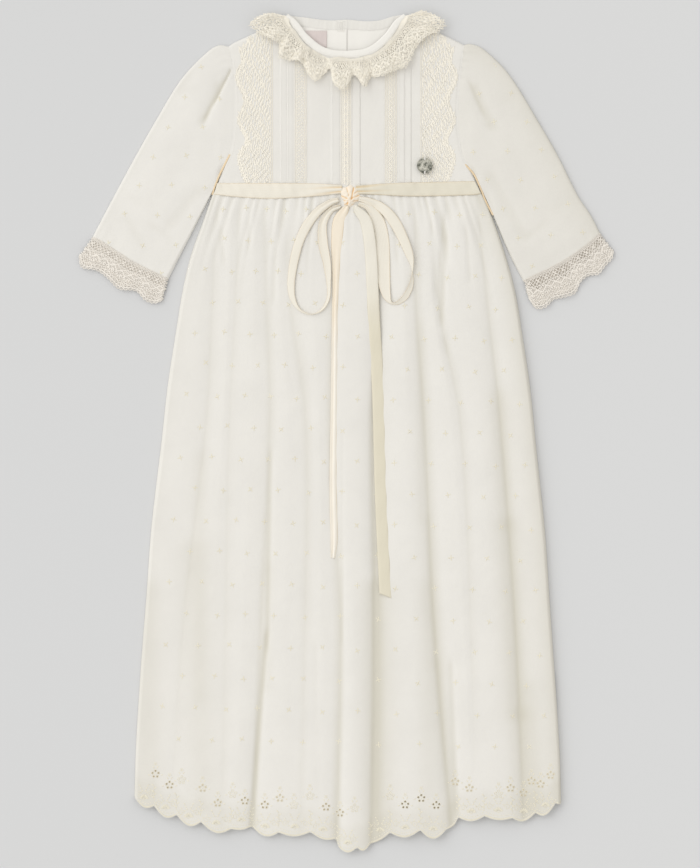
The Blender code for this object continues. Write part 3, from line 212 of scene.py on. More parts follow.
# Painted shade of a sleeve: all over, at its outer edge, and how far that edge's painted shade reaches in
SLEEVE_PAINTED_SHADES = {"left": (0.0, 0.12, 4.0), "right": (0.17, 0.4, 11.0)}
SLEEVE_PUFF = 1.0
CUFF_WAVE = 0.7
CUFF_WAVES = 5
CUFF_BACK_DEPTH = 0.94

# Soft creases of a sleeve: a line, its depth and its width; a depth below nothing is a ridge
CREASE_END = 18.0
Trough = namedtuple("Trough", "x_from drop_from x_to drop_to deep wide")
SLEEVE_CREASES = table(
    Trough, (-122, 60, -148, 122, 1.2, 6), (-138, 168, -186, 226, 0.8, 9), (-150, 80, -212, 190, -0.6, 14),
    (122, 62, 150, 128, 1, 7), (136, 152, 182, 236, 0.9, 9), (158, 88, 214, 196, -0.6, 14),
)

Ruffled = namedtuple("Ruffled", "x_neck drop_neck x_rim drop_rim lift")
NECK_RUFFLE = table(
    Ruffled, (-61.8, 4.9, -72.5, 3.4, 1), (-61.9, 7, -83.5, 5.2, 4), (-61.5, 9.2, -95.5, 13.5, 3),
    (-60.2, 12.4, -86, 22.5, 1), (-58.2, 15.6, -75, 28.5, 4.5), (-55.4, 19.3, -66.5, 33.5, 1),
    (-52.4, 23.3, -66.5, 45.5, 4.5), (-48.4, 28.4, -56.5, 49.5, 1.5), (-44.2, 33, -47.5, 50, 4.5),
    (-40, 37, -43, 53.5, 1), (-34.5, 41.2, -38, 63.5, 3.5), (-28.8, 44.6, -30.5, 70.5, 5.5),
    (-22.4, 47.1, -21.5, 62.5, 1.5), (-17, 48.6, -16, 57.5, 1), (-11.8, 49.4, -13, 71.5, 5),
    (-5.6, 50, -5, 79, 6), (0.5, 50.1, 2.5, 71.5, 4), (5.6, 50, 5.5, 64.5, 1), (10.8, 49.7, 11, 66.5, 2.5),
    (15.9, 48.9, 15, 73, 4.5), (20.2, 47.9, 19.5, 75.5, 5), (24.6, 46.3, 24, 66.5, 1),
    (29.9, 43.9, 31.5, 66, 3.5), (35, 40.9, 43.5, 61.5, 4.5), (40.1, 36.8, 51, 58.5, 1.5),
    (45.1, 31.4, 60, 55, 5), (49.2, 26.2, 67, 40.5, 1.5), (52.4, 21.6, 73, 31.5, 3.5),
    (55.4, 17.1, 82, 24.5, 4.5), (57.7, 13.6, 92.5, 20, 1.5), (59.5, 10.4, 97.3, 12.5, 4),
    (60.6, 7.4, 86.5, 4.5, 1.5), (60.9, 4.6, 73.5, 0.5, 2),
)
RUFFLE_REACH = 3.6
RUFFLE_QUICK_LIFT = 1.15

Panel = namedtuple("Panel", "drop edge")
LACE_PANEL_INNER = 73.5
# Drops between which the lace of a panel and of an insertion is drawn, before it is cut to the bodice
LACE_PANEL_RUN = (14.0, 176.0)
INSERTION_RUN = (30.0, 176.0)
LACE_PANEL_EDGE = table(
    Panel, (30, 98), (38, 106.5), (49.5, 104.5), (66.5, 111), (88.5, 102.5), (110.5, 108.3), (130.5, 100.5),
    (146, 108.5), (171.2, 101.5),
)
INSERTIONS = (
    ("insertion_left", -51.8, -39.8),
    ("insertion_centre", -6.0, 4.8),
    ("insertion_right", 38.2, 50.2),
)
STRIP_GAP = 0.5

Strip = namedtuple("Strip", "x top bottom")
BELT_LEFT = table(
    Strip, (-131.6, 172.2, 183.4), (-112, 172.1, 185.8), (-74.7, 172.2, 187.8), (-32.5, 172.5, 185.4),
    (-7.4, 174, 182.6),
)
BELT_RIGHT = table(
    Strip, (12.4, 174.6, 183), (34, 172.8, 184), (63.1, 171.6, 185.4), (126.2, 170.2, 184),
    (133.4, 170.4, 182.6),
)

BELT_REACH = 3.5
BELT_GAP = 0.5

# Ribbon of the bow: the middle line, the width in use, the tilt in degrees and the height added
Ribbon = namedtuple("Ribbon", "x drop wide tilt lift")
TAIL_LEFT = table(
    Ribbon, (1, 195, 4.5, 0, 1.5), (-2, 200, 8, 0, 1), (-7.6, 210, 11.5, 6, 0.2), (-9.4, 226, 11.5, 8, 0),
    (-10.4, 248, 9, 12, 0), (-10.6, 272, 7, 18, 0), (-11.6, 300, 6.4, 20, 0), (-12.4, 388, 6.8, 18, 0),
    (-13.4, 470, 7.4, 16, 0), (-12.4, 528, 7, 14, 0), (-13.4, 546.5, 4.5, 14, 0),
)
TAIL_RIGHT = table(
    Ribbon, (8, 195, 4.5, 0, 1.5), (12, 200.5, 8.5, 0, 0.8), (18.6, 209, 11.5, 0, 0.2), (22.6, 226, 12, 0, 0),
    (24.8, 250, 12, 0, 0), (27, 300, 12, 0, 0), (31.2, 372.5, 12, 0, 0), (34.5, 488.5, 12, 0, 0),
    (38.9, 584, 12, 0, 0),
)
TAIL_CUT = 5.5
LOOP_LEFT = table(
    Ribbon, (-7.6, 189, 4.5, 0, 2), (-15.5, 191.5, 6.5, 10, 1.5), (-29.5, 201.5, 9, 22, 0.8),
    (-43.5, 221.5, 11.5, 38, 0), (-51, 243.5, 12, 44, 0), (-55, 266.5, 12, 50, 0), (-54.5, 285.5, 12, 62, 0),
    (-47.5, 298.5, 12, 78, 0), (-35.5, 303.5, 12, 88, 0), (-24.5, 299, 12, 98, 0), (-18, 287, 12, 104, 0),
    (-17.5, 270, 12, 112, 0), (-19.6, 250.5, 11.5, 134, 0), (-23.5, 230, 10.5, 154, 0),
    (-23.2, 212, 8, 170, 0.4), (-15.5, 199.5, 5.5, 180, 1.2), (-5.6, 195.2, 3.6, 180, 1.6),
)
LOOP_RIGHT = table(
    Ribbon, (12.2, 187.8, 4, 0, 2), (21, 190, 6.5, 8, 1.6), (34.5, 196.5, 9.5, 16, 1),
    (46, 208.5, 11.5, 24, 0.4), (55.5, 226, 12, 34, 0), (62.5, 243.5, 12, 52, 0), (65.5, 257, 12, 82, 0),
    (65, 271, 12, 108, 0), (59.5, 284, 12, 118, 0), (51.5, 291.5, 12, 106, 0), (44.8, 292, 12, 98, 0),
    (40.4, 285, 12, 130, 0), (37.6, 270, 13, 156, 0.1), (36.8, 248.5, 13.2, 170, 0.1),
    (35.4, 227, 13.6, 175, 0.1), (31, 209, 12.4, 178, 0.3), (22, 196.5, 7, 180, 0.9),
    (12.4, 192.6, 3.4, 180, 1.8),
)
LABEL_AT = (-31.0, 27.8)
LABEL_SIZE = (23.0, 17.0)

# Looks of the cloth that the solids leave out
# Reach in millimetres over which hollows are told from crests for the painted shade, and the strength of each
PAINTED_SHADE_SCALES = ((2.2, 0.9), (10.0, 0.5))
FINE_GATHERS = 31
FINE_GATHER_RISE = 0.62
SEAM_DIP = 0.28
SEAM_REACH = 1.9
PUCKER = 0.12
SKIRT_TROUGHS = table(
    Trough, (-128, 200, -121, 262, 0.5, 3), (-95, 200, -99, 248, 0.6, 2.6), (-70, 206, -73, 300, 0.4, 3.4),
    (-76, 430, -79, 650, 0.6, 3), (-79, 610, -96.5, 832, 0.9, 3.2), (-3.9, 405, -4.6, 640, 0.28, 1.8),
    (28, 196, 29, 360, 0.6, 3), (46, 200, 52, 262, 0.7, 3.2), (84, 200, 90, 296, 0.8, 3.2),
    (100, 212, 94, 322, 0.8, 3.6), (118, 204, 124, 280, 0.6, 3), (94, 318, 104, 352, 0.5, 4),
    (104, 640, 110, 812, 0.7, 4), (-30, 620, -28, 800, 0.35, 5),
)
# Broad soft painted shade in the skirt's deep folds, as shares of full painted shade
SKIRT_PAINTED_SHADES = table(
    Trough, (36.5, 330, 37, 560, 0.12, 7), (31.5, 560, 32.5, 856, 0.52, 15), (73.5, 300, 74.5, 520, 0.2, 5),
    (79, 495, 88, 665, 0.2, 7), (90, 640, 104, 830, 0.24, 8), (79, 560, 83, 850, 0.2, 10),
    (152, 370, 160, 525, 0.36, 10), (160, 500, 172, 715, 0.46, 13), (173, 690, 183, 815, 0.42, 13),
    (182, 660, 190, 820, 0.2, 9), (-152, 520, -143, 810, 0.22, 16), (-146, 430, -146, 700, 0.16, 8),
    (-198, 560, -196, 840, 0.28, 13), (-76, 540, -80, 690, 0.2, 5),
)
SLEEVE_TROUGHS = table(
    Trough, (-110, 47, -135, 99, 1.5, 1.2), (-116.5, 56, -146, 118, 0.9, 2.2), (-119, 146, -132, 172, 0.9, 2.6),
    (-131, 168, -140, 190, 0.7, 3), (-150, 52, -172, 92, 0.3, 5), (-166, 236, -205, 206, 0.4, 6),
    (-226, 196, -196, 246, 0.35, 6), (117.5, 60, 141, 112, 0.5, 3), (120.5, 147, 134, 172, 0.9, 2.6),
    (134, 170, 150, 205, 0.7, 3.2), (176, 74, 214, 150, 0.35, 6), (170, 236, 206, 204, 0.4, 6),
)

# How much closer a sheet's columns lie at its sides
CROWDING = 0.3
SLEEVE_CROWDING = 0.35

SPRIG_ACROSS = 0.0838
SPRIG_START = 0.1206
SPRIG_DOWN = 31.2
SPRIG_FIRST = 201.0
SPRIG_LAST = 742.0
SPRIG_LOWEST = 820.0
# Flowers along the hem, and how far their eyelets are cut open, which sets how dark the painted shadow seen through
# them is: 0 sewn shut with none, 3 open and darkest
HemFlower = namedtuple("HemFlower", "x drop cut")
HEM_FLOWERS = table(
    HemFlower, (-190.5, 761.5, 2), (-176.5, 772.5, 2), (-164.5, 767.5, 0), (-143.5, 775.5, 1),
    (-128.5, 790.5, 1), (-113.5, 781.5, 0), (-101.5, 788.5, 2), (-81.5, 792.5, 2), (-66.5, 785.5, 1),
    (-52.5, 792.5, 0), (-36.5, 783.5, 0), (-20.5, 794.5, 2), (-6.5, 800.5, 2), (8, 795.5, 0), (43.5, 783.5, 0),
    (58.5, 792, 3), (74.5, 785.5, 3), (89.5, 792.5, 3), (108.5, 769.5, 1), (122.5, 775.5, 1), (151.5, 781.5, 0),
    (163.5, 775.5, 1), (176.5, 780.5, 1), (184.5, 768.5, 1), (193.5, 771.5, 1), (203.5, 762.5, 1),
)


def mix(low, high, share):
    return low + (high - low) * share


def ease(share):
    held = np.clip(share, 0, 1)
    return held * held * (3 - 2 * held)


def bell(distance, reach):
    """1 at no distance, falling away smoothly within about two reaches."""
    return np.exp(-((distance / reach) ** 2))


def curve(keys, values, at):
    """Values at the keys asked for, on a smooth curve through the given keys and values."""
    keys = np.asarray(keys, float)
    values = np.asarray(values, float)
    at = np.clip(np.asarray(at, float), keys[0], keys[-1])
    cell = np.clip(np.searchsorted(keys, at, side="right") - 1, 0, len(keys) - 2)
    slopes = np.empty(len(keys))
    slopes[1:-1] = (values[2:] - values[:-2]) / (keys[2:] - keys[:-2])
    slopes[0] = (values[1] - values[0]) / (keys[1] - keys[0])
    slopes[-1] = (values[-1] - values[-2]) / (keys[-1] - keys[-2])
    span = keys[cell + 1] - keys[cell]
    share = (at - keys[cell]) / span
    square = share * share
    cube = square * share
    return (
        (2 * cube - 3 * square + 1) * values[cell]
        + (cube - 2 * square + share) * span * slopes[cell]
        + (3 * square - 2 * cube) * values[cell + 1]
        + (cube - square) * span * slopes[cell + 1]
    )


def column(rows, name):
    return [getattr(row, name) for row in rows]


def read(rows, key_name, key, name):
    """One named column of a table, read at a key."""
    return curve(column(rows, key_name), column(rows, name), key)


def sides(rows, drop):
    """x of the left and right side of a table of levels."""
    return read(rows, "drop", drop, "left"), read(rows, "drop", drop, "right")


def spaced(share, amount):
    """Shares set closer together near both ends, where cloth rolls under."""
    return share - amount * np.sin(math.tau * share) / math.tau


def chords(marks):
    """Share of the whole length at which each point of a curve lies."""
    steps = np.hypot(np.diff(column(marks, "x")), np.diff(column(marks, "drop")))
    lengths = np.concatenate(([0], np.cumsum(steps)))
    return lengths / lengths[-1]


def line_length(marks):
    return sum(math.hypot(two.x - one.x, two.drop - one.drop) for one, two in zip(marks, marks[1:]))


def along(marks, share):
    """Points at shares of the length of a smooth curve."""
    keys = chords(marks)
    return curve(keys, column(marks, "x"), share), curve(keys, column(marks, "drop"), share)


def rounded(distance, reach=EDGE_ROLL):
    """Share of full height at a distance in from an edge that rolls down."""
    inward = np.clip(distance / reach, 0, 1)
    return np.sqrt(1 - (1 - inward) ** 2)


def to_world(x, drop, height):
    x, drop, height = np.broadcast_arrays(x, drop, height)
    return np.stack((x, GOWN_LENGTH / 2 - drop, height), axis=-1) * MM


def troughs(creases, x, drop, end=CREASE_END):
    """How far a table of creases lowers the cloth at points."""
    total = np.zeros(np.broadcast(x, drop).shape)
    for crease in creases:
        run_x = crease.x_to - crease.x_from
        run_drop = crease.drop_to - crease.drop_from
        length = math.hypot(run_x, run_drop)
        ahead = ((x - crease.x_from) * run_x + (drop - crease.drop_from) * run_drop) / length
        aside = ((x - crease.x_from) * run_drop - (drop - crease.drop_from) * run_x) / length
        ends = ease(ahead / end) * ease((length - ahead) / end)
        total += crease.deep * ends * bell(aside, crease.wide)
    return total


def waver(x, drop, length, seed):
    """A slow uneven swell between -1 and 1, as cloth has that was smoothed by hand."""
    turn = math.tau / length
    one = np.sin(turn * (x + 0.31 * drop) + seed)
    two = np.sin(turn * (0.62 * x - 0.53 * drop) + 2.3 * seed)
    three = np.sin(turn * (1.37 * x + 0.11 * drop) + 0.7 * seed)
    return (one + two + three) / 3


# Making and naming pieces


def finish_piece(item, slot, *nodes):
    """A piece rides on the gown's one body and stands for its solids, which it hides; the slot is not used."""
    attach(item, "root")
    if nodes:
        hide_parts(*nodes)
    return item


def new_object(name, mesh, material):
    item = bpy.data.objects.new(name, mesh)
    bpy.context.scene.collection.objects.link(item)
    if material is not None:
        mesh.materials.append(material)
    return item


def softened(grid, axis, reach):
    """A grid averaged along one axis over a soft reach, in cells."""
    if reach < 0.3:
        return grid
    steps = np.arange(-int(3 * reach) - 1, int(3 * reach) + 2)
    weights = bell(steps, reach)
    weights /= weights.sum()
    ends = grid.shape[axis] - 1
    total = np.zeros(grid.shape)
    for step, weight in zip(steps, weights):
        total += weight * np.take(grid, np.clip(np.arange(ends + 1) + step, 0, ends), axis=axis)
    return total


def painted_shade_share(grid, wide, deep):
    """How deep each point of a relief lies in its folds and gathers, from 0 to 1: the share of painted shade there.
    """
    share = np.zeros(grid.shape)
    for reach, strength in PAINTED_SHADE_SCALES:
        around = softened(softened(grid, 1, reach / wide), 0, reach / deep)
        share += strength * (around - grid)
    return np.clip(share, 0, 1)


def store(collection, field, values, kind=np.float32):
    collection.foreach_set(field, np.asarray(values).astype(kind).ravel())


def grid_mesh(name, columns, rows, size):
    form = bmesh.new()
    bmesh.ops.create_grid(form, x_segments=columns, y_segments=rows, size=size)
    mesh = bpy.data.meshes.new(name)
    form.to_mesh(mesh)
    form.free()
    return mesh


def make_cloth(name, columns, rows, place, material, wall=0, relief=None, shade=None):
    """A smooth sheet of columns by rows, set by place(across, down) with shares of each.

    Where relief(across, down) gives the depth of its folds, the material paints shade into their hollows;
    shade(across, down) adds more painted shade where cloth turns away from the light or lies in the shade.
    """
    mesh = grid_mesh(name, columns, rows, 1)
    flat = np.empty(len(mesh.vertices) * 3, np.float32)
    mesh.vertices.foreach_get("co", flat)
    flat = flat.reshape(-1, 3)
    across = np.round((flat[:, 0] + 1) / 2 * columns) / columns
    down = np.round((1 - flat[:, 1]) / 2 * rows) / rows
    points = to_world(*place(across, down))
    store(mesh.vertices, "co", points)
    corners = np.empty(len(mesh.loops), np.int32)
    mesh.loops.foreach_get("vertex_index", corners)
    store(mesh.uv_layers.new(name="cloth").data, "uv", np.stack((across, down), axis=1)[corners])
    mesh.update()
    facing = np.empty(len(mesh.polygons) * 3, np.float32)
    mesh.polygons.foreach_get("normal", facing)
    if facing[2::3].sum() < 0:
        mesh.flip_normals()
    mesh.shade_smooth()
    # Painted shade: a share stored on each point, higher deeper in the folds, with shade(across, down) added to it
    if relief is not None:
        at = (np.round(down * rows).astype(int), np.round(across * columns).astype(int))
        grid = np.zeros((rows + 1, columns + 1))
        grid[at] = np.broadcast_to(relief(across, down), across.shape)
        spots = np.zeros((rows + 1, columns + 1, 3))
        spots[at] = points / MM
        wide = np.linalg.norm(np.diff(spots, axis=1), axis=2).mean()
        deep = np.linalg.norm(np.diff(spots, axis=0), axis=2).mean()
        hollow = painted_shade_share(grid, wide, deep)[at]
        if shade is not None:
            hollow = np.clip(hollow + shade(across, down), 0, 1)
        store(mesh.attributes.new("hollow", "FLOAT", "POINT").data, "value", hollow)
    item = new_object(name, mesh, material)
    if wall:
        solid = item.modifiers.new("wall", "SOLIDIFY")
        solid.thickness = wall * MM
        solid.offset = -1
    return item


def settled(item, name, material):
    """The object's evaluated form as a plain mesh object; the object itself goes."""
    evaluated = item.evaluated_get(bpy.context.evaluated_depsgraph_get())
    mesh = bpy.data.meshes.new_from_object(evaluated)
    old = item.data
    bpy.data.objects.remove(item, do_unlink=True)
    bpy.data.meshes.remove(old)
    mesh.name = name
    made = new_object(name, mesh, None)
    if not mesh.materials:
        mesh.materials.append(material)
    return made


def height_on(tree, x, drop):
    """Height at which a line straight down meets a tree of faces, or None."""
    start = Vector(to_world(x, drop, ABOVE_ALL).tolist())
    spot = tree.ray_cast(start, Vector((0, 0, -1)))[0]
    return None if spot is None else spot.z / MM


class Ground:
    """Top of solids or pieces, for what is laid on them."""

    def __init__(self, items):
        self.trees = []
        for item in items:
            corners = [corner.co for corner in item.data.vertices]
            self.trees.append(BVHTree.FromPolygons(corners, [face.vertices for face in item.data.polygons]))

    def at(self, x, drop):
        heights = [height_on(tree, x, drop) for tree in self.trees]
        return max([0, *(height for height in heights if height is not None)])

    def around(self, x, drop, reach):
        heights = [self.at(x, drop)]
        for step in range(RINGS * RING_STEPS):
            turn = math.tau * step / RING_STEPS
            out = reach * (1 + step // RING_STEPS) / RINGS
            heights.append(self.at(x + out * math.cos(turn), drop + out * math.sin(turn)))
        return max(heights)


def ground_of(*names):
    return Ground([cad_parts[name] for name in names])


RINGS = 3
RING_STEPS = 8


# Shader and geometry node helpers

# Painted gradient of the surface that evens out the side light, and how far it reaches
PAPER_PAINTED_GRADE = 0.03
PAPER_REACH = 0.35
# Colour factors of the painted shade in the folds and gathers of cotton
COTTON_SHADE_TINT = (0.79, 0.775, 0.71)
TARNISH = (0.1, 0.11, 0.09)


def add_node(tree, kind, inputs=(), **settings):
    """A node with its settings, and its inputs set to values or linked to other outputs."""
    node = tree.nodes.new(kind)
    for key, value in settings.items():
        setattr(node, key, value)
    set_inputs(tree, node, inputs)
    return node


def set_inputs(tree, node, inputs):
    for name, value in dict(inputs).items():
        if isinstance(value, bpy.types.NodeSocket):
            tree.links.new(value, node.inputs[name])
        else:
            node.inputs[name].default_value = value


def result(tree, kind, inputs=(), output=0, **settings):
    """One output of a new node."""
    return add_node(tree, kind, inputs, **settings).outputs[output]


def maths(tree, operation, *values):
    return result(tree, "ShaderNodeMath", enumerate(values), operation=operation)


def times(tree, one, two):
    return maths(tree, "MULTIPLY", one, two)


def plus(tree, one, two):
    return maths(tree, "ADD", one, two)


def noise_node(tree, vector, period, detail=3, roughness=0.55):
    inputs = {"Scale": 1 / (period * MM), "Detail": detail, "Roughness": roughness, "Vector": vector}
    return result(tree, "ShaderNodeTexNoise", inputs, "Fac")


def spread(tree, factor, low, high, start=0.3, end=0.7):
    """A factor from start to end, spread between two values."""
    inputs = {"From Min": start, "From Max": end, "To Min": low, "To Max": high, "Value": factor}
    return result(tree, "ShaderNodeMapRange", inputs, "Result")


def tint(tree, factor, one, two):
    """A blend of two colours, each a colour or another node's output."""
    one, two = ((*colour, 1) if isinstance(colour, tuple) else colour for colour in (one, two))
    return result(tree, "ShaderNodeMix", {"A": one, "B": two, "Factor": factor}, "Result", data_type="RGBA")


def toned(colour, *by):
    return tuple(channel * amount for channel, amount in zip(colour, by))


def scaled(colour, amount):
    return toned(colour, amount, amount, amount)


def new_material(name):
    """A material, its tree, its shader and the object's own coordinates."""
    material = bpy.data.materials.new(name)
    material.use_nodes = True
    tree = material.node_tree
    return material, tree, tree.nodes["Principled BSDF"], result(tree, "ShaderNodeTexCoord", (), "Object")


def fabric(name, colour, shade, thread, weave, sheen, roughness, hollow=COTTON_SHADE_TINT, ribs=0, crumple=0):
    """Woven cloth: crossing threads, uneven yarn, soft crumples, darker and warmer painted shade in its hollows, and
    sheen.
    """
    material, tree, shader, place = new_material(name)
    parts = add_node(tree, "ShaderNodeSeparateXYZ", {0: place}).outputs
    turn = math.pi / (thread * MM)
    yarn = noise_node(tree, place, 2.4, 2)
    shift = times(tree, yarn, 2.2)
    warp, weft = (maths(tree, "SINE", plus(tree, times(tree, parts[axis], turn), shift)) for axis in "XY")
    height = times(tree, warp, weft)
    fuzz = noise_node(tree, place, 0.9, 4)
    grain = plus(tree, times(tree, noise_node(tree, place, 38, 3), 0.7), times(tree, fuzz, 0.3))
    # Share of painted shade, stored on the mesh by make_cloth
    deep = result(tree, "ShaderNodeAttribute", (), "Fac", attribute_name="hollow")
    if ribs:
        cloth = result(tree, "ShaderNodeUVMap", (), "UV", uv_map="cloth")
        across = result(tree, "ShaderNodeSeparateXYZ", {0: cloth}, "Y")
        rib = maths(tree, "SINE", times(tree, across, math.tau * ribs))
        height = plus(tree, times(tree, height, 0.35), rib)
        # Both edges of a ribbon turn darker and warmer and its ribs show as fine lines, blended in through the
        # painted shade's tint
        aside = times(tree, maths(tree, "ABSOLUTE", maths(tree, "SUBTRACT", across, 0.5)), 2)
        edge_darkening = times(tree, maths(tree, "POWER", aside, 9), 0.5)
        line = times(tree, plus(tree, rib, 1), 0.055)
        deep = plus(tree, deep, plus(tree, edge_darkening, line))
    dye = tint(tree, spread(tree, grain, 0, 1), shade, colour)
    relief = {
        "Strength": weave,
        "Distance": thread * 0.25 * MM,
        "Height": plus(tree, height, times(tree, fuzz, 1.5)),
    }
    if crumple:
        soft = {"Distance": crumple * MM, "Height": noise_node(tree, place, 17, 2, 0.5)}
        relief["Normal"] = result(tree, "ShaderNodeBump", soft, "Normal")
    # The base colour is blended towards the painted shade's tint as its share grows
    set_inputs(tree, shader, {
        "Base Color": tint(tree, deep, dye, toned(colour, *hollow)),
        "Normal": result(tree, "ShaderNodeBump", relief, "Normal"),
        "Roughness": spread(tree, yarn, roughness - 0.06, roughness + 0.06),
        "Sheen Weight": sheen,
        "Sheen Roughness": 0.4,
        "Specular IOR Level": 0.25,
    })
    return material


def paper(name, colour):
    """Plain matt paper with a painted gradient, darker at the left and lighter at the right, that evens out the side
    light.
    """
    material, tree, shader, place = new_material(name)
    across = result(tree, "ShaderNodeSeparateXYZ", {0: place}, "X")
    painted_grade = spread(tree, across, 0, 1, -PAPER_REACH, PAPER_REACH)
    set_inputs(tree, shader, {
        "Base Color": tint(tree, painted_grade, scaled(colour, 1 - PAPER_PAINTED_GRADE), scaled(colour, 1 + PAPER_PAINTED_GRADE)),
        "Roughness": spread(tree, noise_node(tree, place, 0.8), 0.92, 0.98),
        "Specular IOR Level": 0.1,
    })
    return material


def brushed_metal(name, colour):
    """Softly worn pale metal with fine turned lines."""
    material, tree, shader, place = new_material(name)
    stretched = result(tree, "ShaderNodeMapping", {"Scale": (0.15, 1, 1), "Vector": place}, "Vector")
    lines = noise_node(tree, stretched, 0.25, 3)
    wear = noise_node(tree, place, 3, 3)
    relief = {"Strength": 0.6, "Distance": 0.5 * MM, "Height": plus(tree, wear, times(tree, lines, 0.15))}
    set_inputs(tree, shader, {
        "Base Color": tint(tree, spread(tree, wear, -0.1, 1.1), TARNISH, colour),
        "Roughness": spread(tree, lines, 0.22, 0.4),
        "Normal": result(tree, "ShaderNodeBump", relief, "Normal"),
        "Metallic": 1.0,
    })
    return material


def attribute_node(tree, name, kind):
    return result(tree, "GeometryNodeInputNamedAttribute", {"Name": name}, "Attribute", data_type=kind)


def new_node_group(name, *inputs):
    tree = bpy.data.node_groups.new(name, "GeometryNodeTree")
    for way in ("OUTPUT", "INPUT"):
        tree.interface.new_socket("Geometry", in_out=way, socket_type="NodeSocketGeometry")
    for label, kind, default in inputs:
        socket = tree.interface.new_socket(label, in_out="INPUT", socket_type=kind)
        if default is not None:
            socket.default_value = default
    return tree, add_node(tree, "NodeGroupInput").outputs, add_node(tree, "NodeGroupOutput")


def scaled_profile(tree, sides, flatness):
    """A thread's cross-section: a circle, pressed flat."""
    circle = result(tree, "GeometryNodeCurvePrimitiveCircle", {"Radius": 1, "Resolution": sides}, "Curve")
    size = result(tree, "ShaderNodeCombineXYZ", {"X": 1, "Y": flatness, "Z": 1})
    return result(tree, "GeometryNodeTransform", {"Geometry": circle, "Scale": size}, "Geometry")


def swept(tree, lines, profile):
    """Lines of edges swept with a profile that lies level."""
    as_curve = result(tree, "GeometryNodeMeshToCurve", {"Mesh": lines}, "Curve")
    level = result(tree, "GeometryNodeSetCurveNormal", {"Curve": as_curve}, "Curve", mode="Z_UP")
    girth = attribute_node(tree, "girth", "FLOAT")
    inputs = {"Curve": level, "Profile Curve": profile, "Fill Caps": True, "Scale": girth}
    return result(tree, "GeometryNodeCurveToMesh", inputs, "Mesh")


def finished(tree, parts, given, output):
    """Joins the parts, realizes instances, smooths them and gives them the thread's material."""
    join = add_node(tree, "GeometryNodeJoinGeometry")
    for part in parts:
        tree.links.new(part, join.inputs[0])
    real = result(tree, "GeometryNodeRealizeInstances", {"Geometry": join.outputs[0]})
    smooth = result(tree, "GeometryNodeSetShadeSmooth", {"Geometry": real})
    dyed = result(tree, "GeometryNodeSetMaterial", {"Geometry": smooth, "Material": given["Material"]})
    set_inputs(tree, output, {0: dyed})
    return tree


def thread_tree():
    """Threads, flat tapes and stitched petals, from lines and points with their own sizes."""
    tree, given, output = new_node_group(
        "Threads and petals",
        ("Thread flatness", "NodeSocketFloat", 0.5),
        ("Tape flatness", "NodeSocketFloat", 0.22),
        ("Thread sides", "NodeSocketInt", 4),
        ("Tape sides", "NodeSocketInt", 6),
        ("Petal segments", "NodeSocketInt", 5),
        ("Material", "NodeSocketMaterial", None),
    )
    chosen = {"Geometry": given["Geometry"], "Selection": attribute_node(tree, "is_petal", "BOOLEAN")}
    petals = add_node(tree, "GeometryNodeSeparateGeometry", chosen).outputs
    chosen = {"Geometry": petals["Inverted"], "Selection": attribute_node(tree, "is_tape", "BOOLEAN")}
    lines = add_node(tree, "GeometryNodeSeparateGeometry", chosen).outputs
    round_profile, flat_profile = (
        scaled_profile(tree, given[kind + " sides"], given[kind + " flatness"]) for kind in ("Thread", "Tape")
    )
    threads = swept(tree, lines["Inverted"], round_profile)
    tapes = swept(tree, lines["Selection"], flat_profile)
    sewn = result(tree, "GeometryNodeInstanceOnPoints", {
        "Points": petals["Selection"],
        "Instance": result(tree, "GeometryNodeMeshUVSphere", {"Rings": 4, "Segments": given["Petal segments"]}),
        "Rotation": result(tree, "FunctionNodeEulerToRotation", {0: attribute_node(tree, "turn", "FLOAT_VECTOR")}),
        "Scale": attribute_node(tree, "size", "FLOAT_VECTOR"),
    })
    return finished(tree, (threads, tapes, sewn), given, output)


def stitch_tree():
    """Even running stitches along lines."""
    tree, given, output = new_node_group(
        "Running stitches",
        ("Pitch", "NodeSocketFloat", 2 * MM),
        ("Length", "NodeSocketFloat", 1.4 * MM),
        ("Girth", "NodeSocketFloat", 0.3 * MM),
        ("Material", "NodeSocketMaterial", None),
    )
    as_curve = result(tree, "GeometryNodeMeshToCurve", {"Mesh": given["Geometry"]})
    even = {"Curve": as_curve, "Length": given["Pitch"]}
    size = {"X": given["Length"], "Y": given["Girth"], "Z": given["Girth"]}
    ahead = {"Vector": result(tree, "GeometryNodeInputTangent")}
    sewn = result(tree, "GeometryNodeInstanceOnPoints", {
        "Points": result(tree, "GeometryNodeResampleCurve", even, mode="LENGTH"),
        "Instance": result(tree, "GeometryNodeMeshUVSphere", {"Segments": 5, "Rings": 3, "Radius": 0.5}),
        "Rotation": result(tree, "FunctionNodeAlignRotationToVector", ahead, axis="X"),
        "Scale": result(tree, "ShaderNodeCombineXYZ", size),
    })
    return finished(tree, (sewn,), given, output)


def node_group(name):
    """A geometry node group, made when first asked for."""
    makers = {"Threads and petals": thread_tree, "Running stitches": stitch_tree}
    return bpy.data.node_groups.get(name) or makers[name]()


def with_tree(item, tree, name, material, **values):
    """Runs a node group on an object with the inputs given, and keeps the plain mesh."""
    modifier = item.modifiers.new(tree.name, "NODES")
    modifier.node_group = tree
    values["Material"] = material
    for socket in tree.interface.items_tree:
        if socket.in_out == "INPUT" and socket.name in values:
            modifier[socket.identifier] = values[socket.name]
    return settled(item, name, material)


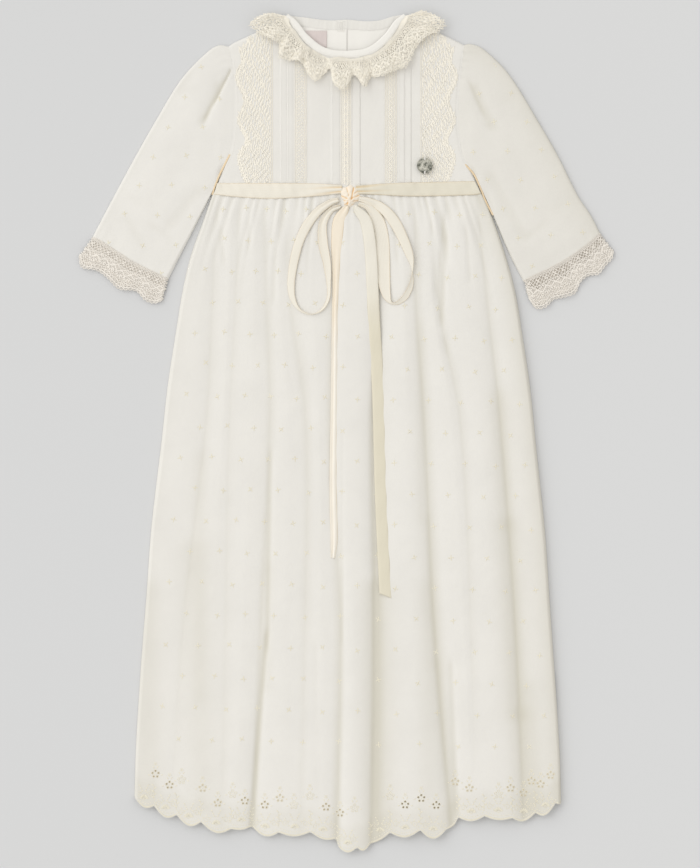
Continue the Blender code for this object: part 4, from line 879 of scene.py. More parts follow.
class Needlework:
    """Threads, tapes and petals drawn flat in millimetres, then laid on a surface of cloth."""

    def __init__(self, edge=None):
        self.edge = edge
        self.spots = []
        self.girths = []
        self.tapes = []
        self.links = []
        self.petals = []
        self.count = 0

    def line(self, one, two, girth, tape=False, closed=False):
        """A thread through points; what falls outside the edge is left off."""
        one, two = np.broadcast_arrays(np.asarray(one, float), np.asarray(two, float))
        inside = np.ones(len(one), bool) if self.edge is None else self.edge(one, two)
        numbers = np.where(inside, self.count + np.cumsum(inside) - 1, -1)
        pairs = np.stack((numbers[:-1], numbers[1:]), axis=1)
        if closed:
            pairs = np.concatenate((pairs, [[numbers[-1], numbers[0]]]))
        self.links.append(pairs[(pairs >= 0).all(axis=1)])
        self.spots.append(np.stack((one[inside], two[inside]), axis=1))
        total = int(inside.sum())
        self.girths.append(np.full(total, girth, float))
        self.tapes.append(np.full(total, tape))
        self.count += total

    def petal(self, one, two, turn, long, wide, thick=0.17):
        """A padded stitch; turn is in degrees from the first direction to the second."""
        if self.edge is None or bool(self.edge(np.array([one]), np.array([two]))[0]):
            self.petals.append((one, two, math.radians(turn), long / 2, wide / 2, thick))

    def spoke(self, one, two, reach, turn, long, wide, thick=0.17):
        """A padded stitch at a reach from a point, along the direction that it lies in."""
        radians = math.radians(turn)
        self.petal(one + reach * math.cos(radians), two + reach * math.sin(radians), turn, long, wide, thick)

    def ring(self, one, two, radius, girth, steps=9):
        turns = np.arange(steps) * math.tau / steps
        self.line(one + radius * np.cos(turns), two + radius * np.sin(turns), girth, closed=True)

    def lay(self, name, place, material, lift=0.25, petal_lift=0.12, **values):
        """Sets all of it on place(one, two), which gives x, drop and height.

        The values are inputs of the node group; those of running stitches include their pitch.
        """
        drawn = [np.array([(petal[0], petal[1]) for petal in self.petals])] if self.petals else []
        flat = np.concatenate(self.spots + drawn)
        step = 0.35
        here, ahead, behind, lower, upper = (
            np.stack(place(flat[:, 0] + one, flat[:, 1] + two), axis=1)
            for one, two in ((0, 0), (step, 0), (-step, 0), (0, step), (0, -step))
        )
        flip = np.array((1, -1, 1))
        first = (ahead - behind) * flip
        second = (lower - upper) * flip
        normal = np.cross(second, first)
        normal /= np.maximum(np.linalg.norm(normal, axis=1, keepdims=True), 1e-9)
        normal[normal[:, 2] < 0] *= -1
        lines = self.count
        raise_by = np.full(len(flat), lift, float)
        raise_by[lines:] = lift + petal_lift
        points = to_world(here[:, 0], here[:, 1], here[:, 2]) + normal * raise_by[:, None] * MM
        mesh = bpy.data.meshes.new(name)
        links = np.concatenate(self.links) if self.links else np.empty((0, 2), int)
        mesh.vertices.add(len(points))
        store(mesh.vertices, "co", points)
        mesh.edges.add(len(links))
        store(mesh.edges, "vertices", links, np.int32)
        girth = np.zeros(len(points))
        girth[:lines] = np.concatenate(self.girths) * MM if self.girths else 0
        tape = np.zeros(len(points), bool)
        tape[:lines] = np.concatenate(self.tapes) if self.tapes else False
        turns = np.zeros((len(points), 3))
        sizes = np.zeros((len(points), 3))
        for at, petal in enumerate(self.petals, lines):
            across = Vector((first[at] * math.cos(petal[2]) + second[at] * math.sin(petal[2])).tolist())
            up = Vector(normal[at].tolist())
            side = up.cross(across).normalized()
            turns[at] = Matrix((side.cross(up), side, up)).transposed().to_euler()
            sizes[at] = (petal[3] * MM, petal[4] * MM, petal[5] * MM)
        for label, kind, field, values_of in (
            ("girth", "FLOAT", "value", girth),
            ("is_tape", "BOOLEAN", "value", tape),
            ("is_petal", "BOOLEAN", "value", np.arange(len(points)) >= lines),
            ("turn", "FLOAT_VECTOR", "vector", turns),
            ("size", "FLOAT_VECTOR", "vector", sizes),
        ):
            mesh.attributes.new(label, kind, "POINT").data.foreach_set(field, np.ravel(values_of))
        mesh.update()
        tree = node_group("Running stitches" if "Pitch" in values else "Threads and petals")
        return with_tree(new_object(name + "_lines", mesh, None), tree, name, material, **values)


def draw_net(work, length, low, high, pitch, girth):
    """Two crossing sets of slanting threads."""
    steps = np.arange(0, high - low + pitch / 2, pitch / 2)
    steps = np.minimum(steps, high - low)
    for start in np.arange(-(high - low), length + (high - low), pitch):
        work.line(start + steps, low + steps, girth)
        work.line(start + steps, high - steps, girth)


def draw_ladder(work, length, low, high, pitch, girth):
    """Two straight threads with bars between them."""
    run = np.arange(0, length + 0.1, 1.5)
    work.line(run, low, girth)
    work.line(run, high, girth)
    for spot in np.arange(pitch / 2, length, pitch):
        work.line(spot, (low, high), girth * 0.7)


def draw_rosette(work, one, two, petals, radius, long, wide, start=90):
    for number in range(petals):
        work.spoke(one, two, radius, start + 360 * number / petals, long, wide)
    work.petal(one, two, 0, wide, wide, 0.2)


# Skirt


def hem_drop(x):
    starts = np.array(column(HEM, "x"))
    drops = np.array(column(HEM, "drop"))
    bellies = np.array(column(HEM, "belly"))
    cell = np.clip(np.searchsorted(starts, x, side="right") - 1, 0, len(starts) - 2)
    share = np.clip((x - starts[cell]) / (starts[cell + 1] - starts[cell]), 0, 1)
    return mix(drops[cell], drops[cell + 1], share) + bellies[cell] * np.sin(math.pi * share)


def fold_depth(x, drop):
    """How far the skirt's folds lower it at points."""
    deepest = np.zeros(np.broadcast(x, drop).shape)
    for fold in SKIRT_FOLDS:
        line = curve(FOLD_LEVELS, fold[:5], drop)
        deep = curve(DEPTH_LEVELS, fold[5:8], drop)
        wide = np.where(x < line, fold.left, fold.right)
        sharp = np.where(x < line, 1.25, 1.55)
        deepest = np.maximum(deepest, deep * np.exp(-((np.abs(x - line) / wide) ** sharp)))
    return deepest


def gather_height(share, drop):
    """Small uneven gathers that fan out from the waist seam, each fading at its own length."""
    below = np.maximum(drop - WAIST_DROP, 0)
    fan = share + 0.006 * np.sin(math.tau * 5.3 * share) + 0.003 * np.sin(math.tau * 11.7 * share)
    uneven = 0.62 + 0.38 * np.sin(UNEVEN_DEPTHS * share + 1) * np.sin(41 * share)
    length = GATHER_LENGTH * (0.55 + 0.9 * np.sin(UNEVEN_LENGTHS * share) ** 2)
    swell = 0.45 + 0.55 * ease(below / GATHER_SWELL_LENGTH)
    fade = bell(below, length)
    ridge = np.cos(math.tau * FINE_GATHERS * fan)
    return FINE_GATHER_RISE * uneven * swell * fade * (ridge + 0.35 * np.cos(math.tau * GATHERS * share))


def skirt_relief(share, x, drop):
    crown = mix(CROWN_LEFT, CROWN_RIGHT, ease((x - CROWN_CHANGE_FROM) / CROWN_CHANGE_OVER))
    relief = crown - fold_depth(x, drop)
    rise = ease((drop - WAIST_DROP) / WAIST_RISE_LENGTH)
    relief = mix(WAIST_RELIEF, relief, rise) + gather_height(share, drop)
    relief -= troughs(SKIRT_TROUGHS, x, drop) * rise
    relief += 0.1 * waver(x, drop, 57, 1.3) * rise
    return np.clip(relief, RELIEF_LEAST, CROWN_MOST)


def skirt_sides(level):
    """x of the skirt's left and right side at a share of its length."""
    return sides(SKIRT_SIDES, mix(SKIRT_TOP, GOWN_LENGTH, level))


def skirt_height(x, drop):
    """Height of the skirt's face at points on it."""
    left, right = skirt_sides(np.clip((drop - SKIRT_TOP) / (hem_drop(x) - SKIRT_TOP), 0, 1))
    full = FRONT_LOW + skirt_relief((x - left) / (right - left), x, drop)
    return mix(EDGE_HEIGHT, full, rounded(np.minimum(x - left, right - x)))


def skirt_spot(share, level):
    """x and drop at shares of the skirt's width and length."""
    hem_x = mix(SKIRT_SIDES[-1].left, SKIRT_SIDES[-1].right, share)
    return mix(*skirt_sides(level), share), mix(SKIRT_TOP, hem_drop(hem_x), level)


def place_skirt(across, down):
    return on_skirt(*skirt_spot(spaced(across, CROWDING), down))


def skirt_folds(across, down):
    """Relief of the skirt alone, for the painted shade in its hollows."""
    share = spaced(across, CROWDING)
    return skirt_relief(share, *skirt_spot(share, down))


def skirt_painted_shade(across, down):
    """Painted shade in the deep folds, where the skirt rolls under at both sides, and along its embroidered border.
    """
    x, drop = skirt_spot(spaced(across, CROWDING), down)
    left, _ = skirt_spot(0, down)
    right, _ = skirt_spot(1, down)
    edges = 0.26 * np.exp(-(x - left) / 6) + 0.8 * np.exp(-(right - x) / 9.5)
    border = 0.22 * ease((drop - hem_drop(x) + 32) / 14)
    return troughs(SKIRT_PAINTED_SHADES, x, drop) + edges + border


def place_skirt_back(across, down):
    left, right = skirt_sides(down)
    hem = hem_drop(mix(SKIRT_SIDES[-1].left, SKIRT_SIDES[-1].right, across)) - BACK_HEM_INSET
    x = mix(left + BACK_INSET, right - BACK_INSET, across)
    drop = mix(SKIRT_TOP, hem, down)
    return x, drop, BACK_TOP - 0.15 + 0.1 * waver(x, drop, 41, 0.4)


# Bodice


def top_edge(x):
    """Drop of the bodice's upper edge: shoulder, neck seam, shoulder."""
    near = 0.5
    start, end = NECK_SEAM[0].x, NECK_SEAM[-1].x
    inside = np.clip(x, start, end)
    fall = read(NECK_SEAM, "x", inside + near, "drop") - read(NECK_SEAM, "x", inside - near, "drop")
    neck = read(NECK_SEAM, "x", inside, "drop") + 0.2 * NECK_GAP * np.hypot(1, fall / (2 * near))
    left = read(SHOULDER_LEFT, "x", x, "drop")
    right = read(SHOULDER_RIGHT, "x", x, "drop")
    return np.where(x < start, left, np.where(x > end, right, neck))


def tuck_rise(x):
    """A tuck's flat fold: low at its stitching, high and round at its free edge."""
    rise = np.zeros(np.shape(x))
    for tuck in TUCKS:
        wide = abs(tuck.free - tuck.stitched)
        share = (x - tuck.stitched) / (tuck.free - tuck.stitched)
        on = (share > -0.001) & (share < 1.001)
        lip = np.clip((1 - share) * wide / 0.5, 0, 1)
        profile = mix(0.22, 1, np.clip(share, 0, 1) ** 0.7) * mix(0.72, 1, np.sqrt(lip))
        high = TUCK_RISE * (LEFT_TUCK_SHARE if tuck.free < -20 else 1)
        rise = np.maximum(rise, np.where(on, high * profile, 0))
        valley = bell(x - tuck.stitched, 0.6)
        rise = rise - 0.1 * valley
    return rise


def bodice_height(x, drop):
    """Height of the bodice's face, with its tucks, seam lines and soft puckers."""
    top = BODICE_SIDES[0].drop
    side_drop = mix(top, WAIST_DROP, np.clip((drop - top) / (WAIST_DROP - top), 0, 1))
    left, right = sides(BODICE_SIDES, side_drop)
    height = BODICE_TOP + tuck_rise(x)
    near_seam = sum(bell(x - edge, 2.2) for _, one, two in INSERTIONS for edge in (one, two))
    height = height - PUCKER * near_seam * (0.6 + 0.4 * np.sin(drop * math.tau / 5.3 + x))
    height = height + 0.12 * waver(x, drop, 36, 2.1)
    height = height - 0.35 * bell(drop - WAIST_DROP + 5, 5) * (0.5 + 0.5 * np.sin(x * 0.71))
    roll = mix(1, rounded(drop - top_edge(x)), ease((np.abs(x) - SHOULDER_START) / SHOULDER_EASE))
    at_underarm = ease((drop - UNDERARM_DROP) / (WAIST_DROP - UNDERARM_DROP))
    from_side = np.maximum(np.minimum(x - left, right - x), 0)
    roll = np.minimum(roll, mix(1, rounded(from_side), at_underarm))
    height = height - SEAM_DIP * bell(from_side, SEAM_REACH)
    return mix(EDGE_HEIGHT, height, roll)


BODICE_MIDDLE = 76
UNDERARM_DROP = 152
SHOULDER_START = 57.5
SHOULDER_EASE = 4.5
CLOTH_PITCH = 1.15


def bodice_columns():
    """x of each column at the waist: even, with close ones at both edges of every tuck."""
    lines = list(np.arange(BODICE_SIDES[-1].left, BODICE_SIDES[-1].right, CLOTH_PITCH))
    lines.append(BODICE_SIDES[-1].right)
    for tuck in TUCKS:
        out = math.copysign(1, tuck.free - tuck.stitched)
        lines = [line for line in lines if min(abs(line - tuck.free), abs(line - tuck.stitched)) > 0.7]
        lines += [tuck.stitched + step * out for step in (-0.35, 0, 0.35)]
        lines += [tuck.free + step * out for step in (-0.5, -0.25, -0.1, 0, 0.08)]
    return np.array(sorted(lines))


def make_bodice_front(material):
    lines = bodice_columns()

    def bodice_x(value, left, right):
        outer_here = np.where(value < 0, -left, right)
        outer_waist = np.where(value < 0, -BODICE_SIDES[-1].left, BODICE_SIDES[-1].right)
        share = (np.abs(value) - BODICE_MIDDLE) / (outer_waist - BODICE_MIDDLE)
        outer = np.copysign(mix(BODICE_MIDDLE, outer_here, share), value)
        return np.where(np.abs(value) <= BODICE_MIDDLE, value, outer)

    def place(across, down):
        value = np.interp(across * (len(lines) - 1), np.arange(len(lines)), lines)
        side_drop = mix(BODICE_SIDES[0].drop, BODICE_END, down)
        left = read(BODICE_SIDES, "drop", side_drop, "left") - 1.3
        right = read(BODICE_SIDES, "drop", side_drop, "right") + 1.3
        x = bodice_x(value, left, right)
        top = top_edge(bodice_x(value, BODICE_SIDES[0].left - 1.3, BODICE_SIDES[0].right + 1.3))
        drop = mix(top, BODICE_END, down ** 1.15)
        return x, drop, bodice_height(x, drop)

    return make_cloth("bodice_front_cloth", len(lines) - 1, 64, place, material)


def back_top_edge(x):
    """Drop of a back panel's upper edge, inside the shoulder roll and along the back neck."""
    neck = read(BACK_NECK, "x", x, "drop")
    first, last = BACK_NECK[0], BACK_NECK[-1]
    end_x = np.where(x < 0, first.x, last.x)
    end_drop = np.where(x < 0, first.drop, last.drop)
    shoulder = np.where(x < 0, read(SHOULDER_LEFT, "x", x, "drop"), read(SHOULDER_RIGHT, "x", x, "drop"))
    outside = mix(end_drop, shoulder + BACK_SHOULDER_INSET, ease(np.abs(x - end_x) / EDGE_ROLL))
    return np.where((x >= first.x) & (x <= last.x), neck, outside)


PLACKET_RISE = 0.22


def back_height(x, drop, on_left):
    start = PLACKET_EDGE - PLACKET_OVERLAP - PLACKET_RISE_MARGIN
    rise = PLACKET_RISE * ease((x - start) / PLACKET_RISE_LENGTH) if on_left else 0
    return BACK_TOP + rise - 0.1 + 0.16 * waver(x, drop, 27, 0.9)


def make_bodice_back(name, on_left, material):
    top = BODICE_SIDES[0]
    inner = PLACKET_EDGE if on_left else PLACKET_EDGE - PLACKET_OVERLAP

    def place(across, down):
        side_drop = mix(top.drop + BACK_SHOULDER_INSET, BODICE_END, down)
        inset = mix(SIDE_SEAM_GAP, BACK_INSET, ease((side_drop - 140) / 34))
        left, right = sides(BODICE_SIDES, side_drop)
        outer, outer_top = (left + inset, top.left + 1) if on_left else (right - inset, top.right - 1)
        x, top_x = (
            mix(edge, inner, across) if on_left else mix(inner, edge, across) for edge in (outer, outer_top)
        )
        drop = mix(back_top_edge(top_x), BODICE_END, down)
        return x, drop, back_height(x, drop, on_left)

    return finish_piece(make_cloth(name + "_cloth", 60, 30, place, material, 0.4), "cotton", name)


# Sleeves and cuffs


def patch(curves, down, across):
    """Points of a sleeve between its four edges: armhole, cuff, outer edge and inner edge."""
    arm = along(curves["armhole"], across)
    cuff = along(curves["cuff"], across)
    outer = along(curves["outer"], down)
    inner = along(curves["inner"], down)
    corners = [curves["armhole"][0], curves["armhole"][-1], curves["cuff"][0], curves["cuff"][-1]]
    result = []
    for axis, name in enumerate(("x", "drop")):
        values = [getattr(mark, name) for mark in corners]
        corner = mix(mix(values[0], values[1], across), mix(values[2], values[3], across), down)
        result.append(mix(arm[axis], cuff[axis], down) + mix(outer[axis], inner[axis], across) - corner)
    return result


def width_at(curves, down):
    outer = along(curves["outer"], down)
    inner = along(curves["inner"], down)
    return np.hypot(inner[0] - outer[0], inner[1] - outer[1])


def sleeve_creases(down, x, drop):
    return troughs(SLEEVE_CREASES, x, drop) * ease(down / 0.1) + troughs(SLEEVE_TROUGHS, x, drop) * ease(down / 0.02)


def sleeve_height(curves, down, across, x, drop):
    swell = SLEEVE_PUFF * np.sin(math.pi * across) * ease(down / 0.12) * ease((1 - down) / 0.1)
    creases = sleeve_creases(down, x, drop)
    head = 0.22 * np.cos(math.tau * 17 * across + 3 * np.sin(7 * across))
    head = head * bell(down, 0.06) * ease(across / 0.06) * ease((0.34 - across) / 0.2)
    cuff = 0.1 * np.cos(math.tau * 7 * across + 4 * np.sin(5 * across)) * bell(1 - down, 0.07)
    full = SLEEVE_TOP + swell - creases + head + cuff
    full = full + 0.14 * waver(x, drop, 44, 3.3)
    full = full - SEAM_DIP * bell(down * 150, SEAM_REACH)
    inward = np.minimum(across, 1 - across) * width_at(curves, down)
    return mix(EDGE_HEIGHT, full, rounded(inward))


def make_sleeve_front(side, curves, material):
    """A sleeve's upper wall; the right sleeve lies away from the light and gets more painted shade."""
    flipped = side == "right"
    overall, at_edge, reach = SLEEVE_PAINTED_SHADES[side]

    def held(across):
        share = spaced(np.clip(across, 0, 1), SLEEVE_CROWDING)
        return 1 - share if flipped else share

    def place(across, down):
        share = held(across)
        x, drop = patch(curves, down, share)
        return x, drop, sleeve_height(curves, down, share, x, drop)

    # Creases, for the painted shade in their hollows
    def relief(across, down):
        return -sleeve_creases(down, *patch(curves, down, held(across)))

    def shade(across, down):
        return overall + at_edge * np.exp(-held(across) * width_at(curves, down) / reach)

    return make_cloth(f"sleeve_{side}_front_cloth", 105, 150, place, material, relief=relief, shade=shade)


def place_sleeve_back(curves):
    def place(across, down):
        level = mix(0.012, 1, down)
        wide = width_at(curves, level)
        inner = SLEEVE_INSET * mix(UNDERARM_INSET, 1, ease(level / 0.35))
        share = mix(SLEEVE_INSET / wide, 1 - inner / wide, across)
        x, drop = patch(curves, level, share)
        return x, drop, np.full(np.shape(x), BACK_TOP - 0.1)

    return place


CUFF_DEPTH = 26
# The cuff lace's finest net, too fine to draw, in millimetres out from the seam
CUFF_GROUND = (0.4, 22.6)
# How far out the open mesh reaches and how dark the painted shadow seen through it is, as a share of full painted
# shade
CUFF_OPENING_SHADOWS = {"left": (8.8, 0.5), "right": (11.5, 0.85)}


def place_cuff(curves, front):
    """Cuff lace in millimetres along the seam and out from it."""
    length = line_length(curves["cuff"])

    def place(run, out):
        across = np.clip(run / length, 0, 1)
        share = out / CUFF_DEPTH
        seam = along(curves["cuff"], across)
        rim = along(curves["lace"], across)
        x = mix(seam[0], rim[0], share)
        drop = mix(seam[1], rim[1], share)
        if not front:
            return x, drop, np.full(np.shape(x), 0.5)
        wave = CUFF_WAVE * share * np.cos(math.tau * CUFF_WAVES * across)
        inward = np.minimum(across, 1 - across) * width_at(curves, 1)
        header = 0.75 * (1 - ease((out + 1.2) / 3.4))
        full = mix(SLEEVE_TOP - 0.6, FRONT_LOW - 0.3, share) + wave * 0.8 + header
        return x, drop, mix(EDGE_HEIGHT, full, rounded(inward))

    return place


def draw_edging(work, length, depth, finish=True):
    """Gathered edging lace: header, open mesh, fine mesh, waving trails, fans and a lobed border."""
    run = np.arange(0, length, 1.1)
    draw_ladder(work, length, 0.4, 1.7, 1.4, 0.3)
    draw_net(work, length, 1.7, 8.7, 3.6, 0.42)
    work.line(run, 8.8, 0.5)
    draw_net(work, length, 8.8, depth - 2, 2.3, 0.3)
    for level, sway, girth in ((10.6, 0.9, 0.5), (13, 1.3, 0.75), (depth - 5.2, 0.8, 0.5)):
        work.line(run, level + sway * np.sin(run * math.tau / 9 + level), girth, tape=True)
    for number, spot in enumerate(np.arange(4.5, length, 9)):
        for turn in (20, 55, 90, 125, 160):
            work.spoke(spot, 14.6, 3, turn, 4, 1.6)
        work.ring(spot, 13.6, 1, 0.36, 8)
        draw_rosette(work, spot + 4.5, depth - 8, 5, 1.7, 2.2, 1.2, 90 + 20 * (number % 3))
        draw_rosette(work, spot, 5.2, 4, 1.3, 2, 1.2, 45)
    for number, spot in enumerate(np.arange(1.5, length, 3)):
        work.petal(spot, depth - 3.4, 60 if number % 2 else 120, 2.4, 1.1)
    work.line(run, depth - 2.1, 0.7, tape=True)
    if finish:
        turns = np.linspace(0, math.pi, 7)
        for spot in np.arange(1.8, length, 3.6):
            for radius, girth in ((1.75, 0.45), (0.9, 0.3)):
                one = spot - radius * np.cos(turns)
                work.line(one, depth - 1.5 + radius * 1.1 * np.sin(turns), girth)
            for turn in (50, 90, 130):
                one = spot + 1.9 * math.cos(math.radians(turn))
                work.petal(one, depth - 1.4 + 2.1 * math.sin(math.radians(turn)), turn, 0.9, 0.6)


def draw_fluff(work, length, low, high):
    """Loose little loops that make a gathered edge bushy."""
    turns = np.linspace(0, 1.5 * math.pi, 7)
    for number, spot in enumerate(np.arange(1, length, 1.25)):
        level = mix(low, high, 0.5 + 0.5 * math.sin(number * 2.4))
        radius = 0.9 + 0.5 * math.sin(number * 1.7)
        start = number * 2.1
        work.line(spot + radius * np.cos(turns + start), level + radius * np.sin(turns + start), 0.26)


def make_cuff(side, curves, front, material):
    length = line_length(curves["cuff"])
    layer = "front" if front else "back"
    depth = CUFF_DEPTH if front else CUFF_DEPTH * CUFF_BACK_DEPTH
    margin = 0 if front else BACK_INSET
    lowest = -1.1 if front else 0.3
    work = Needlework(lambda one, two: (one >= margin) & (one <= length - margin) & (two >= lowest))
    if front:
        draw_edging(work, length, depth)
        draw_net(work, length, -1, 2, 1.3, 0.22)
    else:
        draw_net(work, length, 0.4, depth - 1.6, 1.35, 0.4)
        work.line(np.arange(0, length, 1.1), depth - 1.6, 0.7, tape=True)
    surface = place_cuff(curves, front)
    node = f"cuff_lace_{side}_{layer}"
    piece = finish_piece(work.lay(node + "_threads", surface, material), "lace", node)
    if not front:
        return

    def place_ground(across, down):
        x, drop, height = surface(length * mix(0.02, 0.98, across), mix(*CUFF_GROUND, down))
        return x, drop, height - 0.1

    # Painted shadow on the ground sheet, where the open mesh would show the shade below
    def ground_painted_shadow(across, down):
        reach, dark = CUFF_OPENING_SHADOWS[side]
        patchy = 0.85 + 0.15 * np.sin(23 * across + 1)
        return dark * patchy * (1 - ease((mix(*CUFF_GROUND, down) - reach + 1) / 2))

    # Flutes of the gathered lace, for the painted shade in their hollows
    def flutes(across, down):
        return 0.25 * down * np.cos(math.tau * CUFF_WAVES * across)

    name = f"cuff_lace_{side}_ground"
    ground = make_cloth(name, 80, 36, place_ground, material, relief=flutes, shade=ground_painted_shadow)
    finish_piece(ground, "lace")


# Neck

BAND_ACROSS = 12
BAND_ALONG = 190
NECK_LENGTH = 209


def on_neck(share, out):
    """x and drop at shares of the neck binding's length and width."""
    seam_x = along(NECK_SEAM, share)[0]
    seam_drop = read(NECK_SEAM, "x", seam_x, "drop")
    edge_x, edge_drop = along(NECK_EDGE, share)
    return mix(edge_x, seam_x, out), mix(edge_drop, seam_drop, out)


def make_neck_band_front(painted_light_cotton):
    def place(across, down):
        share = (1 - np.cos(math.pi * down)) / 2
        low = np.where(share < 0.5, BODICE_TOP - 0.6, BODICE_TOP + 0.2)
        rise = BODICE_TOP + 0.5 + BAND_CROWN * np.sin(math.pi * share) - low
        profile = np.clip(1 - np.abs(2 * share - 1) ** 8, 0, 1) ** 0.5
        pucker = 0.1 * np.sin(across * 260 + 5 * share) * np.sin(across * 91) * profile
        return *on_neck(across, share * 1.04), low + rise * profile + pucker

    front = make_cloth("neck_band_front_cloth", BAND_ALONG, BAND_ACROSS, place, painted_light_cotton)
    return finish_piece(front, "cotton", "neck_band_front")


def make_neck_band_back(name, start, end, on_left, material):
    def place(across, down):
        x = mix(start, end, across)
        drop = back_top_edge(x) + 0.2 + BACK_BAND_DEPTH * down
        edge = np.minimum(down, 1 - down) * BACK_BAND_DEPTH
        height = back_height(x, drop, on_left) + 0.06 + 0.14 * rounded(edge, 1)
        height = height + (0 if on_left else PLACKET_RISE * ease((PLACKET_EDGE + 7 - x) / 6))
        height = height + 0.1 * np.sin(x * 1.05 + 2 * down) * np.sin(x * 0.37)
        return x, drop, height

    return finish_piece(make_cloth(name + "_cloth", 100, BAND_ACROSS, place, material), "cotton", name)


class Ruffle:
    """The neck ruffle as a surface: run in millimetres along its rim, out in millimetres."""

    RUN = 11
    DEPTH = 24

    def __init__(self, ground):
        self.keys = np.arange(len(NECK_RUFFLE))
        self.stations = np.arange(0, len(NECK_RUFFLE) - 0.9, 0.5)
        self.levels = np.linspace(0, 1, 4)
        self.rest = np.empty((len(self.stations), len(self.levels)))
        for i, at in enumerate(self.stations):
            for j, out in enumerate(self.levels):
                x, drop = self.flat(at, out)
                self.rest[i, j] = max(ground.around(float(x), float(drop), RUFFLE_REACH), BODICE_TOP)
        self.length = self.RUN * (len(NECK_RUFFLE) - 1)

    def value(self, name, at):
        return curve(self.keys, column(NECK_RUFFLE, name), at)

    def flat(self, at, out):
        x = mix(self.value("x_neck", at), self.value("x_rim", at), out)
        return x, mix(self.value("drop_neck", at), self.value("drop_rim", at), out)

    def place(self, run, out):
        at = np.asarray(run) / self.RUN
        share = np.asarray(out) / self.DEPTH
        x, drop = self.flat(at, share)
        rows = np.stack([curve(self.stations, self.rest[:, j], at) for j in range(4)])
        spot = np.clip(share, 0, 0.9999) * 3
        low = spot.astype(int)
        pick = np.arange(rows.shape[1])
        rest = mix(rows[low, pick], rows[low + 1, pick], spot - low)
        lift = self.value("lift", at) * ease(share * RUFFLE_QUICK_LIFT)
        gathers = 0.5 * np.cos(math.tau * at * 2) * bell(share, 0.35)
        frill = 0.45 * np.sin(at * 19 + 6 * share) * np.sin(at * 7.3 - 11 * share) * ease(share / 0.5)
        x = x + 0.7 * frill * np.sin(at * 31)
        drop = drop + 1.1 * ease((share - 0.6) / 0.4) * np.sin(at * 23) * np.sin(at * 5)
        tucked = 0.5 * ease(-share / 0.06)
        return x, drop, rest + SEAM_GAP + 0.5 + lift + gathers * ease(share / 0.1) + frill - tucked


def make_ruffle(material):
    strips = (name for name, _, _ in INSERTIONS)
    ruffle = Ruffle(ground_of("bodice_front", "lace_panel_left", "lace_panel_right", *strips))
    length = ruffle.length
    work = Needlework(lambda one, two: (one >= 0) & (one <= length))
    draw_edging(work, length, ruffle.DEPTH)
    draw_net(work, length, -2.8, 0.4, 2.1, 0.3)
    draw_fluff(work, length, ruffle.DEPTH - 6, ruffle.DEPTH + 0.8)
    piece = work.lay("neck_ruffle_threads", ruffle.place, material)
    return finish_piece(piece, "lace", "neck_ruffle")


# Lace laid on the bodice

FLAT_LACE = {"Thread flatness": 0.2, "Tape flatness": 0.12}


def strip_end(x):
    """Drop at which a strip of lace stops, just above the belt."""
    left = read(BELT_LEFT, "x", x, "top")
    right = read(BELT_RIGHT, "x", x, "top")
    return np.where(np.asarray(x) < 0, left, right) - STRIP_GAP


def lace_on_bodice(work, name, across, material, lift, petal_lift):
    """Lays a strip of lace, drawn down and across the bodice, with across(two) giving its x."""

    def place(one, two):
        x = across(two)
        return x, one, bodice_height(x, one) + 0.02

    piece = work.lay(name + "_threads", place, material, lift, petal_lift, **FLAT_LACE)
    return finish_piece(piece, "lace", name)


def panel_width(drop):
    return read(LACE_PANEL_EDGE, "drop", drop, "edge") - LACE_PANEL_INNER


def make_lace_panel(name, side, material):
    def across(two):
        return side * (LACE_PANEL_INNER + two)

    def inside(one, two):
        x = across(two)
        on_cloth = (one > top_edge(x) + 2.2) & (one < strip_end(x))
        return on_cloth & (two > -0.1) & (two < panel_width(one) + 0.9)

    work = Needlework(inside)
    start, end = LACE_PANEL_RUN
    run = np.arange(start, end, 1.2)
    for level in (0.4, 2.2):
        work.line(run, level, 0.34)
    for spot in np.arange(start, end, 1.7):
        work.line(spot, (0.4, 2.2), 0.22)
    for number, level in enumerate(np.arange(3.4, 37, 1.9)):
        wave, shift = 19 + number % 5, 2.3 * number
        work.line(run, level + 0.9 * np.sin(run * math.tau / wave + shift), 0.3)
        for spot in np.arange(start + 1.9 * (number % 3), end, 5.4):
            sway = 0.9 * math.sin(spot * math.tau / wave + shift)
            lean = 24 * math.sin(spot * 0.19 + number) + (12 if number % 2 else -12)
            work.petal(spot, level + sway, lean, 6, 1.25, 0.07)
            work.petal(spot + 2.6, level + sway + 0.6, lean + 38, 3, 0.9, 0.07)
    for number, spot in enumerate(np.arange(start + 8, end, 13)):
        draw_rosette(work, spot, 13.4 + 3 * math.sin(spot), 5, 1.9, 2.6, 1.2, 40 * number)
        draw_rosette(work, spot + 6, 24 + math.sin(spot), 5, 1.7, 2.3, 1.1, 25 * number)
    wide = panel_width(run)
    work.line(run, wide - 1.9, 0.55, tape=True)
    turns = np.linspace(0, math.pi, 7)
    for spot in np.arange(start, end, 3.4):
        edge = float(panel_width(spot))
        work.line(spot - 1.6 * np.cos(turns), edge - 1.5 + 1.7 * np.sin(turns), 0.38)
        work.line(spot - 0.8 * np.cos(turns), edge - 1.5 + 0.8 * np.sin(turns), 0.26)
        work.petal(spot, edge - 4, 90, 2.8, 1.3)
        work.petal(spot + 1.7, edge - 3.2, 90, 1.8, 1)
    return lace_on_bodice(work, name, across, material, 0.09, 0.05)


